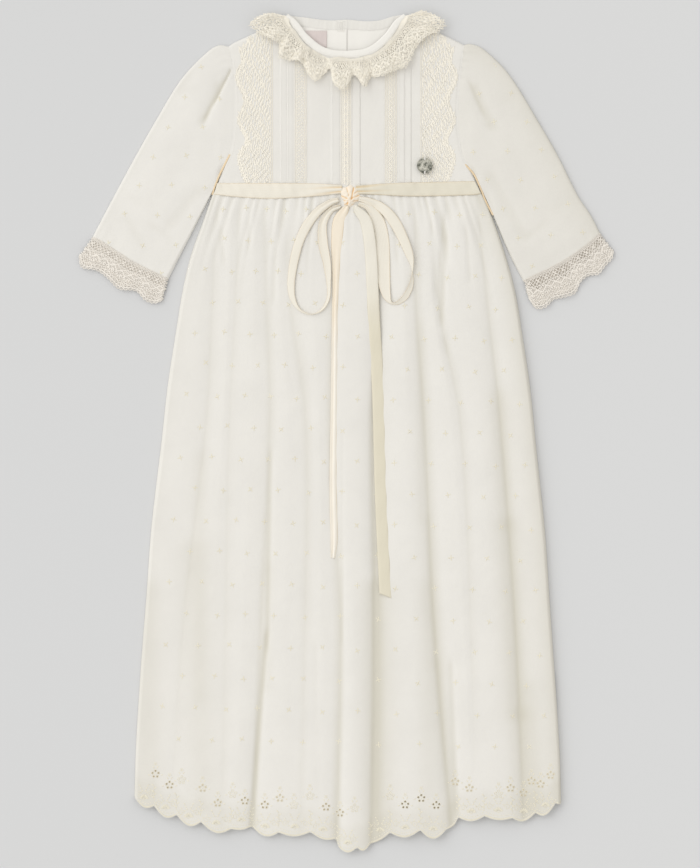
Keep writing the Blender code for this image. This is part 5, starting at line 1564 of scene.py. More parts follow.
def make_insertion(name, left, right, material):
    wide = right - left

    def across(two):
        return left + two

    def inside(one, two):
        x = across(two)
        return (one > top_edge(x) + 1) & (one < strip_end(x))

    work = Needlework(inside)
    start, end = INSERTION_RUN
    run = np.arange(start, end, 1.2)
    for level in (0.5, 2.2, wide - 2.2, wide - 0.5):
        work.line(run, level, 0.36)
    for spot in np.arange(start, end, 1.5):
        for low, high in ((0.5, 2.2), (wide - 2.2, wide - 0.5)):
            work.line(spot, (low, high), 0.24)
    pitch = 3 if name == "insertion_left" else 2.4
    shift = Needlework()
    draw_net(shift, end - start, 2.2, wide - 2.2, pitch, 0.24)
    for spots in shift.spots:
        work.line(spots[:, 0] + start, spots[:, 1], 0.24)
    if name == "insertion_centre":
        for level in (wide / 2 - 1.6, wide / 2 + 1.6):
            work.line(run, level, 0.6, tape=True)
        for spot in np.arange(start + 3, end, 6.4):
            draw_rosette(work, spot, wide / 2, 4, 1.4, 2.2, 1.2, 45)
    elif name == "insertion_right":
        for sway in (1, -1):
            work.line(run, wide / 2 + sway * 1.7 * np.sin(run * math.tau / 9), 0.4)
        for number, spot in enumerate(np.arange(start + 1.1, end, 2.25)):
            work.petal(spot, wide / 2 + (1.1 if number % 2 else -1.1), 30, 2, 1, 0.1)
    else:
        for number, spot in enumerate(np.arange(start + 1.5, end, 3)):
            work.petal(spot, wide / 2 + (1.5 if number % 2 else -1.5), 90, 1.9, 1.5)
    return lace_on_bodice(work, name, across, material, 0.06, 0.03)


# Ribbon belt and bow


BELT_TUCK = 3
BELT_STATIONS = 21
BELT_LEANS = {"belt_left": -3, "belt_right": 6.5}
# Where the knot draws the belt into folds, and how far out they reach
BOW_MIDDLE = 2.4
BOW_PULL = 26


def belt_folds(x, down):
    return bell(np.abs(x - BOW_MIDDLE), BOW_PULL), np.cos(down * math.tau * 2 + 0.05 * x)


def make_belt(name, strip, ground, material):
    start, end = strip[0].x, strip[-1].x
    start, end = (start, end + BELT_TUCK) if end < 0 else (start - BELT_TUCK, end)
    lean = BELT_LEANS[name]

    def spot(across, down):
        x = mix(start, end, across)
        return x, mix(read(strip, "x", x, "top"), read(strip, "x", x, "bottom"), down)

    # Rest heights of the ground at the ribbon's upper edge, middle and lower edge
    shares = np.linspace(0, 1, BELT_STATIONS)
    rests = [[ground.around(x, drop, BELT_REACH) for x, drop in zip(*spot(shares, level))] for level in (0, 0.5, 1)]

    def place(across, down):
        x, drop = spot(across, down)
        rows = [curve(shares, rest, across) for rest in rests]
        upper = mix(rows[0], rows[1], ease(down * 2))
        rest = np.where(down < 0.5, upper, mix(rows[1], rows[2], ease(down * 2 - 1)))
        crush = 0.16 * np.sin(x * 0.23 + 3 * down) + 0.1 * np.sin(x * 0.61 - 5 * down)
        near_bow, folds = belt_folds(x, down)
        edge = np.minimum(down, 1 - down)
        outer = ease(((across if lean > 0 else 1 - across) - 0.9) / 0.1)
        height = rest + BELT_GAP + 0.45 + crush + 0.5 * near_bow * folds - 0.6 * np.exp(-edge / 0.1)
        return x + lean * (down - 0.85) * outer, drop, height

    # Folds near the bow, for the painted shade in their hollows
    def relief(across, down):
        near_bow, folds = belt_folds(mix(start, end, across), down)
        return 0.9 * near_bow * folds

    belt = make_cloth(name + "_ribbon", 150, 16, place, material, THIN, relief)
    return finish_piece(belt, "ribbon", name)


# Drops at which painted shade starts to darken the right tail and the left tail's warmer painted shade starts to
# fade, with the lengths over which they do
TAIL_SHADE_STARTS_AT = 258.0
TAIL_SHADE_GROWS_OVER = 78.0
TAIL_WARM_SHADE_FADES_AT = 290.0
TAIL_WARM_SHADE_FADES_OVER = 50.0
# Strength of the warmer painted shade on the left tail's upper part
TAIL_WARM_SHADE = 0.3
RIBBON_PITCH = 1.6
# Share of a tilted ribbon's width that stands up; the rest is pressed flat
RIBBON_STAND = 0.14


class RibbonPath:
    """One ribbon of the bow: its path, rest heights and tilt."""

    def __init__(self, points, ground, spacing, cut):
        self.points = points
        self.cut = cut
        self.keys = chords(points)
        self.length = line_length(points)
        self.shares = np.linspace(0, 1, round(self.length / spacing) + 1)
        heights = []
        for share in self.shares:
            spot = Ribbon(*(float(self.value(field, share)) for field in Ribbon._fields))
            half = spot.wide / 2
            tilt = math.radians(spot.tilt)
            rest = ground.around(spot.x, spot.drop, max(half * abs(math.cos(tilt)) - 0.8, 1.5))
            stand = half * abs(math.sin(tilt)) * RIBBON_STAND
            heights.append(rest + SEAM_GAP + stand + 0.5 * spot.lift)
        smooth = []
        for i in range(len(heights)):
            near = heights[max(i - 1, 0): i + 2]
            smooth.append(max(mix(max(near), sum(near) / len(near), 0.5), heights[i]))
        self.heights = smooth

    def value(self, field, share):
        return curve(self.keys, column(self.points, field), share)

    def place(self, across, down):
        x, drop, wide, tilt = (self.value(field, across) for field in ("x", "drop", "wide", "tilt"))
        step = 0.004
        run_x, run_drop = (
            self.value(field, across + step) - self.value(field, across - step) for field in ("x", "drop")
        )
        size = np.hypot(run_x, run_drop)
        run_x, run_drop = run_x / size, run_drop / size
        side = (down - 0.5) * wide
        turn = np.radians(tilt)
        curl = 0.5 * (1 - (2 * down - 1) ** 4) - 0.3 + 0.14 * np.sin(across * self.length * 0.19 + 2 * down)
        level = side * np.cos(turn) - curl * np.sin(turn)
        slant = self.cut * side / RIBBON_WIDTH * ease((across - 0.93) / 0.07)
        height = curve(self.shares, self.heights, across) + side * np.sin(turn) * RIBBON_STAND + curl * np.cos(turn)
        pressed = np.clip(1 - wide / RIBBON_WIDTH, 0, 1)
        height = height + 0.8 * pressed * np.cos(down * math.tau * 1.5)
        return x + run_drop * level + run_x * slant, drop - run_x * level + run_drop * slant, height


def make_bow(material, painted_light, shaded_below):
    under = [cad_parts[name] for name in ("skirt_front", "bodice_front")]
    made = []
    for name, points, spacing, cut in (
        ("bow_tail_left", TAIL_LEFT, 12, 0),
        ("bow_tail_right", TAIL_RIGHT, 12, TAIL_CUT),
        ("bow_loop_left", LOOP_LEFT, 6, 0),
        ("bow_loop_right", LOOP_RIGHT, 6, 0),
    ):
        path = RibbonPath(points, Ground(under + made[:2]), spacing, cut)

        # Pressed folds of a narrowed ribbon, for the painted shade in their hollows
        def relief(across, down, path=path):
            pressed = np.clip(1 - path.value("wide", across) / RIBBON_WIDTH, 0, 1)
            return 0.3 * pressed * np.cos(down * math.tau * 1.5)

        # Painted shade that darkens the right tail further down
        def shade(across, down, path=path):
            return ease((path.value("drop", across) - TAIL_SHADE_STARTS_AT) / TAIL_SHADE_GROWS_OVER)

        # Warmer painted shade on the left tail's upper part, fading further down
        def upper_warm_shade(across, down, path=path):
            return TAIL_WARM_SHADE * (1 - ease((path.value("drop", across) - TAIL_WARM_SHADE_FADES_AT) / TAIL_WARM_SHADE_FADES_OVER))

        # The right tail takes painted shade further down; the left tail takes a lightened copy as painted light, with
        # warmer painted shade above
        own = {"bow_tail_right": (shaded_below, shade), "bow_tail_left": (painted_light, upper_warm_shade)}
        side, painted_shade_of = own.get(name, (material, None))
        columns = round(path.length / RIBBON_PITCH)
        ribbon = make_cloth(name + "_ribbon", columns, 14, path.place, side, THIN, relief, painted_shade_of)
        made.append(finish_piece(ribbon, "ribbon", name))
    return made


# Creases of the knot, drawn tight towards its middle
KNOT_MIDDLE = (3.6, 185.2)
KNOT_HALF = (9.4, 11)
KNOT_HEIGHT = 4
KNOT_CREASES = table(
    Trough, (7.6, 175, 4.4, 190.5, 1.3, 0.8), (3.9, 188.4, 14, 183.6, 1, 0.8), (5, 190.6, 14.4, 189, 0.8, 0.7),
    (4, 193, 13, 197.4, 0.7, 0.7), (6.4, 184, 14.6, 177.6, 0.7, 0.8), (-9, 183, 2.4, 188.8, 1, 0.8),
    (-8, 189.6, 3.4, 190, 0.7, 0.7), (-7.6, 197, 3, 191.4, 0.9, 0.8), (-0.4, 175, 3, 187, 0.6, 0.9),
    (0.6, 198, 1.4, 189.6, 0.8, 0.8),
)


def make_knot(material):
    def spot(across, down):
        one, two = 2 * across - 1, 2 * down - 1
        round_one = one * np.sqrt(1 - two * two / 2)
        round_two = two * np.sqrt(1 - one * one / 2)
        turn = np.arctan2(round_two, round_one)
        lobes = 1 + 0.1 * np.sin(3 * turn + 2.2) + 0.08 * np.sin(4 * turn + 0.4) + 0.05 * np.sin(7 * turn)
        x = KNOT_MIDDLE[0] + KNOT_HALF[0] * round_one * lobes
        return x, KNOT_MIDDLE[1] + KNOT_HALF[1] * round_two * lobes, np.hypot(round_one, round_two), turn

    # Pleats and creases, for the orange painted shade in their hollows
    def relief(across, down):
        x, drop, out, turn = spot(across, down)
        pleats = 0.22 * np.cos(1.25 * (x + 0.9 * drop)) * (1 - out)
        return pleats - troughs(KNOT_CREASES, x, drop, 2.5)

    def place(across, down):
        x, drop, out, turn = spot(across, down)
        dome = np.clip(1 - out ** 2, 0, 1) ** 0.65
        return x, drop, BODICE_TOP + 0.2 + KNOT_HEIGHT * dome + relief(across, down) * ease(dome / 0.6)

    return finish_piece(make_cloth("bow_knot_folds", 90, 90, place, material, 0, relief), "ribbon", "bow_knot")


# Embroidery


def on_skirt(one, two):
    return one, two, skirt_height(one, two)


def on_skirt_cloth(x, drop):
    """Whether points lie on the skirt, inside both sides and above the hem."""
    left, right = sides(SKIRT_SIDES, drop)
    return (x > left + 2.5) & (x < right - 2.5) & (drop < hem_drop(x))


def hem_flower(work, shade, x, drop, size=3.1):
    """A flower of five eyelets with stitched rims round a middle stitch; with shade given, a disc of painted shadow
    sits in each eyelet.
    """
    for number in range(5):
        turn = math.radians(90 + 72 * number)
        one, two = x + size * math.cos(turn), drop - size * math.sin(turn)
        work.ring(one, two, 1.2, 0.34, 8)
        if shade is not None:
            shade.petal(one, two, 0, 2.1, 2.1, 0.1)
    work.petal(x, drop, 0, 1.5, 1.5, 0.14)


def hem_leaf(work, x, drop, turn, long=3, wide=1.2):
    work.spoke(x, drop, long / 2, turn, long, wide, 0.13)


def draw_scallop(work, middle, low, half):
    """The filling of one scallop: dots along the edge, a fan of leaves and two curls."""
    for x in np.arange(-half + 1.6, half - 1, 2.5):
        work.petal(middle + x, float(hem_drop(middle + x)) - 4.6, 0, 1.2, 1.2, 0.12)
    base = low - 8.6
    for number in range(7):
        work.spoke(middle, base, 3.2, -168 + 26 * number, 4, 1.4, 0.12)
    work.ring(middle, base, 1, 0.26, 8)
    curl = np.linspace(0, 2.6 * math.pi, 20)
    radius = mix(3.3, 0.7, curl / curl[-1])
    for side in (-1, 1):
        one = middle + side * (half * 0.62 - radius * np.cos(curl))
        work.line(one, low - 13.2 - radius * np.sin(curl), 0.26)
        for turn in (-150, -90, -30, 30):
            work.spoke(middle + side * half * 0.62, low - 13.2, 4.4, turn, 2.2, 1, 0.12)
    for side in (-1, 1):
        for number in range(3):
            drop = low - 16 - 2.6 * number
            hem_leaf(work, middle + side * (0.6 + 1.3 * number), drop, -90 + side * 50, 3, 1.1)


def make_hem_embroidery(thread, shades):
    work = Needlework(on_skirt_cloth)
    holes = [None] + [Needlework(on_skirt_cloth) for _ in shades]
    for flower in HEM_FLOWERS:
        x, drop = flower.x, flower.drop
        hem_flower(work, holes[flower.cut], x, drop)
        for side in (-1, 1):
            hem_leaf(work, x + side * 1.2, drop - 5.6, -90 + side * 34)
            hem_leaf(work, x + side * 5.2, drop + 1, -90 + side * 90, 2.6)
        draw_rosette(work, x, drop - 10, 5, 1.3, 1.7, 1)
    run = np.arange(HEM[0].x + 0.6, SKIRT_SIDES[-1].right - 0.8, 0.95)
    hem = hem_drop(run)
    slope = np.degrees(np.arctan(np.gradient(hem, run)))
    for x, drop, turn in zip(run, hem, slope):
        work.spoke(x, drop, -1.25, turn + 90, 2.3, 1, 0.13)
    for start, end in zip(HEM, HEM[1:]):
        if end.x - start.x < 15:
            continue
        middle = (start.x + end.x) / 2
        low = float(hem_drop(middle))
        half = (end.x - start.x) / 2
        draw_scallop(work, middle, low, half)
        stem = np.arange(start.drop - 20, start.drop - 5, 1.2)
        work.line(start.x + 0.5 * np.sin(stem), stem, 0.24)
        for number, drop in enumerate(np.arange(start.drop - 20, start.drop - 6, 3.1)):
            hem_leaf(work, start.x, drop, -90 + (48 if number % 2 else -48), 3.6, 1.2)
    finish_piece(work.lay("hem_embroidery", on_skirt, thread, 0.02, 0), "cotton")
    # Discs of painted shadow in the eyelets, from faint to dark
    for name, drawn, shade in zip(("closed", "half_open", "open"), holes[1:], shades):
        finish_piece(drawn.lay(f"hem_{name}_eyelets", on_skirt, shade, 0, 0.04), "cotton")


# Sprigs of a sleeve: the first one, the step to the next row and the step along a row
SLEEVE_SPRIGS = {
    "left": ((-161.5, 86.5), (-15.3, 29.3), (33.5, 0.5)),
    "right": ((160.5, 140), (14.3, 28), (33, -2)),
}


def draw_sprig(work, x, drop, turn):
    """A padded dot with a few small stitches round it."""
    work.petal(x, drop, turn, 2.8, 2.4, 0.2)
    for number in range(4):
        work.spoke(x, drop, 2, turn + 90 * number + 12 * math.sin(x + drop + number), 2.2, 1.3, 0.12)


def make_sprigs(thread):
    work = Needlework()
    rows = np.arange(SPRIG_FIRST, SPRIG_LAST, SPRIG_DOWN)
    for number, drop in enumerate(rows):
        level = (drop - SKIRT_TOP) / (SPRIG_LOWEST - SKIRT_TOP)
        start = SPRIG_START + (SPRIG_ACROSS / 2 if number % 2 else 0)
        shares = start + SPRIG_ACROSS * np.arange(-2, 12)
        shares = shares + 0.019 * np.sin(2.5 * math.pi * (shares - 0.65))
        for share in shares[(shares > 0.025) & (shares < 0.975)]:
            x, spot = skirt_spot(float(share), level)
            stray_x = 1.2 * math.sin(13.7 * share + 2.9 * number)
            stray_drop = 1.3 * math.sin(29.1 * share + 1.7 * number) + 0.026 * float(x) - 0.8
            draw_sprig(work, float(x) + stray_x, float(drop) + stray_drop, 90 * math.sin(7.3 * share * number))
    finish_piece(work.lay("skirt_sprigs", on_skirt, thread, 0, 0.02), "cotton")
    for side, curves in SLEEVES:
        heights = SurfaceOver(curves)
        work = Needlework(heights.inside)
        first, row_step, place_step = SLEEVE_SPRIGS[side]
        for row in range(-4, 8):
            for column in range(-4, 5):
                x, drop = (first[axis] + row * row_step[axis] + column * place_step[axis] for axis in (0, 1))
                x, drop = x + 1.2 * math.sin(5.1 * row + column), drop + 1.2 * math.sin(2.3 * column + row)
                draw_sprig(work, x, drop, 90 + 20 * math.sin(row + column * 3))
        sprigs = work.lay(f"sleeve_{side}_sprigs", heights.place, thread, 0, 0.02)
        finish_piece(sprigs, "cotton")


SPRIG_MARGIN = 5


class SurfaceOver:
    """Height of a sleeve's face at x and drop, from a fine grid of its own surface."""

    def __init__(self, curves):
        across, down = np.meshgrid(np.linspace(0, 1, 121), np.linspace(0, 1, 181))
        x, drop = patch(curves, down, across)
        height = sleeve_height(curves, down, across, x, drop)
        points = to_world(x, drop, height).reshape(-1, 3)
        wide = across.shape[1]
        faces = [
            (row * wide + at, row * wide + at + 1, (row + 1) * wide + at + 1, (row + 1) * wide + at)
            for row in range(across.shape[0] - 1)
            for at in range(wide - 1)
        ]
        self.tree = BVHTree.FromPolygons(points.tolist(), faces)

    def inside(self, one, two):
        """Whether points lie on the sleeve, a little in from its edges."""
        return np.array([
            all(height_on(self.tree, x + aside, drop) is not None for aside in (-SPRIG_MARGIN, SPRIG_MARGIN))
            for x, drop in zip(one, two)
        ])

    def place(self, one, two):
        heights = [height_on(self.tree, x, drop) for x, drop in zip(one, two)]
        return one, two, np.array([SLEEVE_TOP if height is None else height for height in heights])


# Sewing, label and charm


def on_bodice(one, two):
    return one, two, bodice_height(one, two)


# Tapes of orange painted shade laid in the creases where the sleeves meet the bodice
UNDERARM_SEAM_SHADES = {
    "left": table(Mark, (-116.5, 143.5), (-126.5, 163.5), (-131, 174.5), (-134.2, 184)),
    "right": table(Mark, (118.5, 153.5), (127.2, 163.5), (134.8, 179.7), (139.5, 191), (146.5, 204.5)),
}


def make_sewing(thread, seam_shade):
    bodice = Needlework()
    down = np.arange(0, 1, 0.01)
    lines = []
    for tuck in TUCKS:
        out = math.copysign(1, tuck.free - tuck.stitched)
        lines += [tuck.stitched + 0.5 * out, tuck.free - 0.8 * out]
    for _, left, right in INSERTIONS:
        lines += [left - 0.8, right + 0.8]
    for line in lines:
        drop = mix(float(top_edge(np.array(line))) + 1.5, float(strip_end(line)) - 0.5, down)
        bodice.line(line, drop, 0.2)
    for side, curves in SLEEVES:
        x, drop = along(curves["armhole"], mix(0.1, 0.93, down))
        bodice.line(x + (2.4 if side == "left" else -2.4), drop, 0.2)
    for name, marks in UNDERARM_SEAM_SHADES.items():
        ground = ground_of("bodice_front", "skirt_front", f"sleeve_{name}_front")
        x, drop = along(marks, down)
        heights = np.array([ground.around(*spot, 1.2) for spot in zip(x, drop)])
        heights = np.convolve(np.pad(heights, 4, mode="edge"), np.full(9, 1 / 9), mode="valid")

        def on_underarm(one, two, drop=drop, heights=heights):
            return one, two, np.interp(two, drop, heights) - 0.15

        seam = Needlework()
        seam.line(x, drop, 0.9, tape=True)
        finish_piece(seam.lay(f"underarm_seam_{name}", on_underarm, seam_shade, 0), "cotton")
    coarse = {"Pitch": 2.1 * MM, "Length": 1.5 * MM, "Girth": 0.34 * MM}
    fine = {"Pitch": 2.1 * MM, "Length": 1.4 * MM, "Girth": 0.3 * MM}
    finish_piece(bodice.lay("bodice_stitches", on_bodice, thread, 0.08, **coarse), "cotton")
    collar = Needlework()
    collar.line(np.arange(4, 205, 1), 0, 0.2)

    def on_binding(one, two):
        return *on_neck(one / NECK_LENGTH, 0.8), np.full(np.shape(one), BODICE_TOP + 0.66)

    finish_piece(collar.lay("neck_stitches", on_binding, thread, 0.05, **fine), "cotton")
    backs = Needlework()
    for start, end in ((BACK_NECK[0].x + 3, PLACKET_EDGE - 0.8), (PLACKET_EDGE + 1.8, BACK_NECK[-1].x - 3)):
        x = np.arange(start, end, 1)
        backs.line(x, back_top_edge(x) + BACK_BAND_DEPTH - 0.7, 0.2)
    drop = np.arange(21, 46, 1)
    backs.line(PLACKET_EDGE - 1.2, drop, 0.2)

    def on_back(one, two):
        height = np.where(one < PLACKET_EDGE, back_height(one, two, True), back_height(one, two, False))
        return one, two, height + 0.25 * (two < back_top_edge(one) + BACK_BAND_DEPTH)

    finish_piece(backs.lay("back_neck_stitches", on_back, thread, 0.05, **fine), "cotton")


def make_bar_tack(thread):
    """The sewn bar on the back neck band beside the opening."""
    work = Needlework()
    for number in range(11):
        work.petal(-5.4, 10.4 + number * 0.95, 0, 7.2 if number in (0, 10) else 4.4, 0.85, 0.1)
    for x in (-8.9, -2):
        work.line(x, (9.8, 15, 20.4), 0.16)

    def on_band(one, two):
        return one, two, back_height(one, two, True) + 0.24

    finish_piece(work.lay("back_neck_bar_tack", on_band, thread, 0.05, 0.05), "cotton")


def make_label(weave, thread):
    wide, deep = LABEL_SIZE
    left, top = LABEL_AT[0] - wide / 2, LABEL_AT[1] - deep / 2

    def place(across, down):
        x = left + wide * across
        drop = top + deep * down
        edge = np.minimum(np.minimum(across, 1 - across) * wide, np.minimum(down, 1 - down) * deep)
        swell = 0.25 * np.sin(math.pi * across) * np.sin(math.pi * down)
        height = back_height(x, drop, True) + 0.25 + 0.3 * rounded(edge, 0.8) + swell
        return x, drop, height + 0.12 * np.sin(x * 0.9) * np.sin(math.pi * down)

    cloth = make_cloth("label_cloth", 46, 34, place, weave)
    work = Needlework()
    inset = 0.9
    xs = np.arange(left + inset, left + wide - inset, 0.8)
    drops = np.arange(top + inset, top + deep - inset, 0.8)
    for level in (top + inset, top + deep - inset):
        work.line(xs, level, 0.2)
    for level in (left + inset, left + wide - inset):
        work.line(level, drops, 0.2)

    def on_label(one, two):
        return place((one - left) / wide, (two - top) / deep)

    sizes = {"Pitch": 1.9 * MM, "Length": 1.3 * MM, "Girth": 0.3 * MM}
    finish_piece(work.lay("label_stitches", on_label, thread, 0.05, **sizes), "label")
    return finish_piece(cloth, "label", "label")


def make_charm_details(metal, thread):
    """The charm's raised rim and the threads that sew it on through its two holes."""
    low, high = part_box("medal")
    middle = (low + high) / 2
    x, drop = middle.x / MM, GOWN_LENGTH / 2 - middle.y / MM
    top = high.z / MM
    rim = Needlework()
    turns = np.arange(72) * math.tau / 72
    for radius, girth in ((7.1, 0.5), (6.2, 0.16)):
        rim.line(x + radius * np.cos(turns), drop + radius * np.sin(turns), girth, closed=True)
    ring = rim.lay("charm_rim", lambda one, two: (one, two, np.full(np.shape(one), top)), metal, 0.05)
    sewn = Needlework()
    finish_piece(ring, "metal")
    for up in (-1, 1):
        hole = drop + up * (MEDAL_DIAMETER / 2 - MEDAL_HOLE_INSET)
        for shift in (-0.45, 0, 0.45):
            run = np.linspace(0, 1, 9)
            sewn.line(x + shift + 0 * run, hole + up * mix(-0.4, 3, run), 0.3)

    def over_rim(one, two):
        outward = np.abs(two - drop) - (MEDAL_DIAMETER / 2 - MEDAL_HOLE_INSET)
        share = np.clip((outward + 0.4) / 3.4, 0, 1)
        arch = mix(top - 0.9, top + 0.35, np.sin(math.pi * share) ** 0.5)
        return one, two, arch - 1.2 * ease((share - 0.85) / 0.15)

    finish_piece(sewn.lay("charm_thread", over_rim, thread, 0), "cotton")


# Looks, settings and operators


def srgb(red, green, blue):
    """Linear colour of an 8-bit picture colour."""
    return tuple(((value / 255 + 0.055) / 1.055) ** 2.4 for value in (red, green, blue))


class ClothSettings(bpy.types.PropertyGroup):
    thread: FloatProperty(name="Thread spacing", description="Spacing of the woven threads, mm", default=0.5, min=0.2)
    weave: FloatProperty(name="Weave", description="Woven relief", subtype="FACTOR", default=0.35, min=0.0, max=1.0)
    sheen: FloatProperty(name="Sheen", description="Grazing light", subtype="FACTOR", default=0.15, min=0.0, max=1.0)
    colour: FloatVectorProperty(
        name="Colour", description="Warm white of the cotton", subtype="COLOR", default=srgb(239, 237, 232), size=3
    )


class LaceSettings(bpy.types.PropertyGroup):
    colour: FloatVectorProperty(
        name="Colour", description="Ecru of the lace", subtype="COLOR", default=srgb(254, 249, 237), size=3
    )


class RibbonSettings(bpy.types.PropertyGroup):
    ribs: FloatProperty(name="Ribs", description="Fine lengthwise lines across the ribbon's width", default=9.0)
    sheen: FloatProperty(name="Sheen", description="Grazing light", subtype="FACTOR", default=0.4, min=0.0, max=1.0)
    colour: FloatVectorProperty(
        name="Colour", description="Cream of the ribbon", subtype="COLOR", default=srgb(242, 238, 227), size=3
    )


class StageSettings(bpy.types.PropertyGroup):
    distance: FloatProperty(name="Camera height", description="Height above the gown", default=2.2, unit="LENGTH")
    sun: FloatProperty(name="Key light", description="Strength of the soft key light", default=0.75, min=0.0)
    softbox: FloatProperty(name="Side light", description="Panel at the left", unit="POWER", default=7.0, min=0.0)
    sky: FloatProperty(name="Fill light", description="Strength of the even light all round", default=0.785, min=0.0)
    floor: FloatVectorProperty(
        name="Surface", description="Colour of the surface", subtype="COLOR", default=(0.706, 0.715, 0.727), size=3
    )


# Colour factors of the warmer painted shade in the ribbon's folds
RIBBON_SHADE_TINT = (0.95, 0.8, 0.6)
# Half the height that the camera takes in and the point that it looks down on, in metres
VIEW_HALF_HEIGHT = 0.434
VIEW_MIDDLE = (0.0035, -0.0025)


def look(name):
    """A material by name, made when first asked for."""
    known = bpy.data.materials.get(name)
    if known is not None:
        return known
    scene = bpy.context.scene
    if name == "charm metal":
        return brushed_metal(name, srgb(236, 234, 222))
    if name == "grey surface":
        return paper(name, tuple(scene.gown_stage.floor))
    cloth, lace, ribbon = scene.gown_cloth, scene.gown_lace, scene.gown_ribbon
    white, ecru, cream = tuple(cloth.colour), tuple(lace.colour), tuple(ribbon.colour)
    # Copies of the ribbon's cream: lighter as painted light for the left tail, darker as painted shade for the right
    # belt
    painted_light, shaded_cream = toned(cream, 1.07, 1.07, 1.09), toned(cream, 0.915, 0.91, 0.87)
    # The cuffs' lace is the ecru darkened as painted shade over both cuffs
    soft = toned(ecru, 0.91, 0.905, 0.935)
    # Thread spacing, weave, sheen and roughness of each cloth
    cotton = (cloth.thread, cloth.weave, cloth.sheen, 0.82)
    net = (0.35, 0, 0.1, 0.8)
    cut = (0.4, 0.3, 0, 0.9)
    silk = (0.5, 0.3, ribbon.sheen, 0.5)
    looks = {
        "cotton batiste": (white, scaled(white, 0.955), *cotton, COTTON_SHADE_TINT, 0, 0.6),
        # Cotton lightened as painted light against the shade on the inside back, the neck binding and the bar tack
        "cotton lining": (scaled(white, 1.085), scaled(white, 1.04), *cotton),
        "cotton lace": (ecru, scaled(ecru, 0.975), *net),
        # Its dark tint paints the shadow seen through the open mesh of the cuffs
        "cuff lace": (soft, scaled(soft, 0.975), *net, (0.46, 0.43, 0.39)),
        "sprig floss": (srgb(241, 236, 219), srgb(235, 229, 209), 0.3, 0.3, 0.25, 0.6),
        "embroidery floss": (scaled(white, 0.985), scaled(white, 0.93), 0.3, 0.35, 0.25, 0.55),
        # Painted shadow seen through the hem's eyelets, from faint to dark
        "closed eyelet": (srgb(226, 218, 200), srgb(204, 194, 172), *cut),
        "half open eyelet": (srgb(204, 194, 174), srgb(172, 160, 138), *cut),
        "open eyelet": (srgb(164, 154, 136), srgb(132, 122, 106), *cut),
        "woven ribbon": (cream, scaled(cream, 0.96), *silk, RIBBON_SHADE_TINT, ribbon.ribs),
        "turning ribbon": (cream, scaled(cream, 0.96), *silk, (0.87, 0.85, 0.77), ribbon.ribs),
        "pale ribbon": (painted_light, scaled(painted_light, 0.96), *silk, RIBBON_SHADE_TINT, ribbon.ribs),
        "ribbon reverse": (shaded_cream, scaled(shaded_cream, 0.96), *silk, RIBBON_SHADE_TINT, ribbon.ribs),
        # The knot's tint is a strongly orange painted shade in its creases
        "knotted ribbon": (srgb(248, 238, 223), srgb(245, 234, 217), *silk, (0.96, 0.74, 0.48)),
        # Orange painted shade for the crease under each arm
        "underarm seam": (srgb(244, 222, 188), srgb(238, 214, 178), 0.3, 0.3, 0.1, 0.8),
        "label weave": (srgb(232, 222, 218), srgb(218, 206, 204), 0.5, 0.5, 0.1, 0.8),
    }
    return fabric(name, *looks[name])


class GOWN_OT_stage(bpy.types.Operator):
    """Surface, soft light and the camera straight above."""

    bl_idname = "gown.stage"
    bl_label = "Stage"

    def execute(self, context):
        settings = context.scene.gown_stage
        surface = new_object("surface", grid_mesh("surface", 1, 1, 6), look("grey surface"))
        surface.location.z = -0.05 * MM
        lamp = bpy.data.lights.new("key_light", "SUN")
        lamp.energy = settings.sun
        lamp.angle = math.radians(50)
        lamp.color = (0.985, 0.995, 1)
        key = new_object("key_light", lamp, None)
        key.rotation_euler = Vector((-0.6, 0.55, 0.5)).to_track_quat("Z", "Y").to_euler()
        panel = bpy.data.lights.new("side_softbox", "AREA")
        panel.size = 1.4
        panel.energy = settings.softbox
        side = new_object("side_softbox", panel, None)
        side.location = (-1.8, -0.1, 1.6)
        side.rotation_euler = side.location.to_track_quat("Z", "Y").to_euler()
        world = bpy.data.worlds.new("soft studio")
        world.use_nodes = True
        light = {"Color": (1, 0.982, 0.95, 1), "Strength": settings.sky}
        set_inputs(world.node_tree, world.node_tree.nodes["Background"], light)
        context.scene.world = world
        camera = bpy.data.cameras.new("camera")
        camera.sensor_width = 36
        camera.lens = camera.sensor_width / 2 * settings.distance / VIEW_HALF_HEIGHT
        camera.clip_end = 50
        holder = new_object("camera", camera, None)
        holder.location = (*VIEW_MIDDLE, settings.distance)
        context.scene.camera = holder
        context.scene.view_settings.view_transform = "Standard"
        return {"FINISHED"}


class GOWN_OT_skirt(bpy.types.Operator):
    """Gathered skirt, front and back."""

    bl_idname = "gown.skirt"
    bl_label = "Skirt"

    def execute(self, context):
        cotton = look("cotton batiste")
        front = make_cloth(
            "skirt_front_cloth", 290, 185, place_skirt, cotton, relief=skirt_folds, shade=skirt_painted_shade
        )
        back = make_cloth("skirt_back_cloth", 110, 40, place_skirt_back, cotton, THIN)
        finish_piece(front, "cotton", "skirt_front")
        finish_piece(back, "cotton", "skirt_back")
        return {"FINISHED"}


class GOWN_OT_bodice(bpy.types.Operator):
    """Bodice front with its tucks, and the two back halves."""

    bl_idname = "gown.bodice"
    bl_label = "Bodice"

    def execute(self, context):
        cotton = look("cotton batiste")
        front = finish_piece(make_bodice_front(cotton), "cotton", "bodice_front")
        painted_light_cotton = look("cotton lining")
        left = make_bodice_back("bodice_back_left", True, painted_light_cotton)
        right = make_bodice_back("bodice_back_right", False, painted_light_cotton)
        return {"FINISHED"}


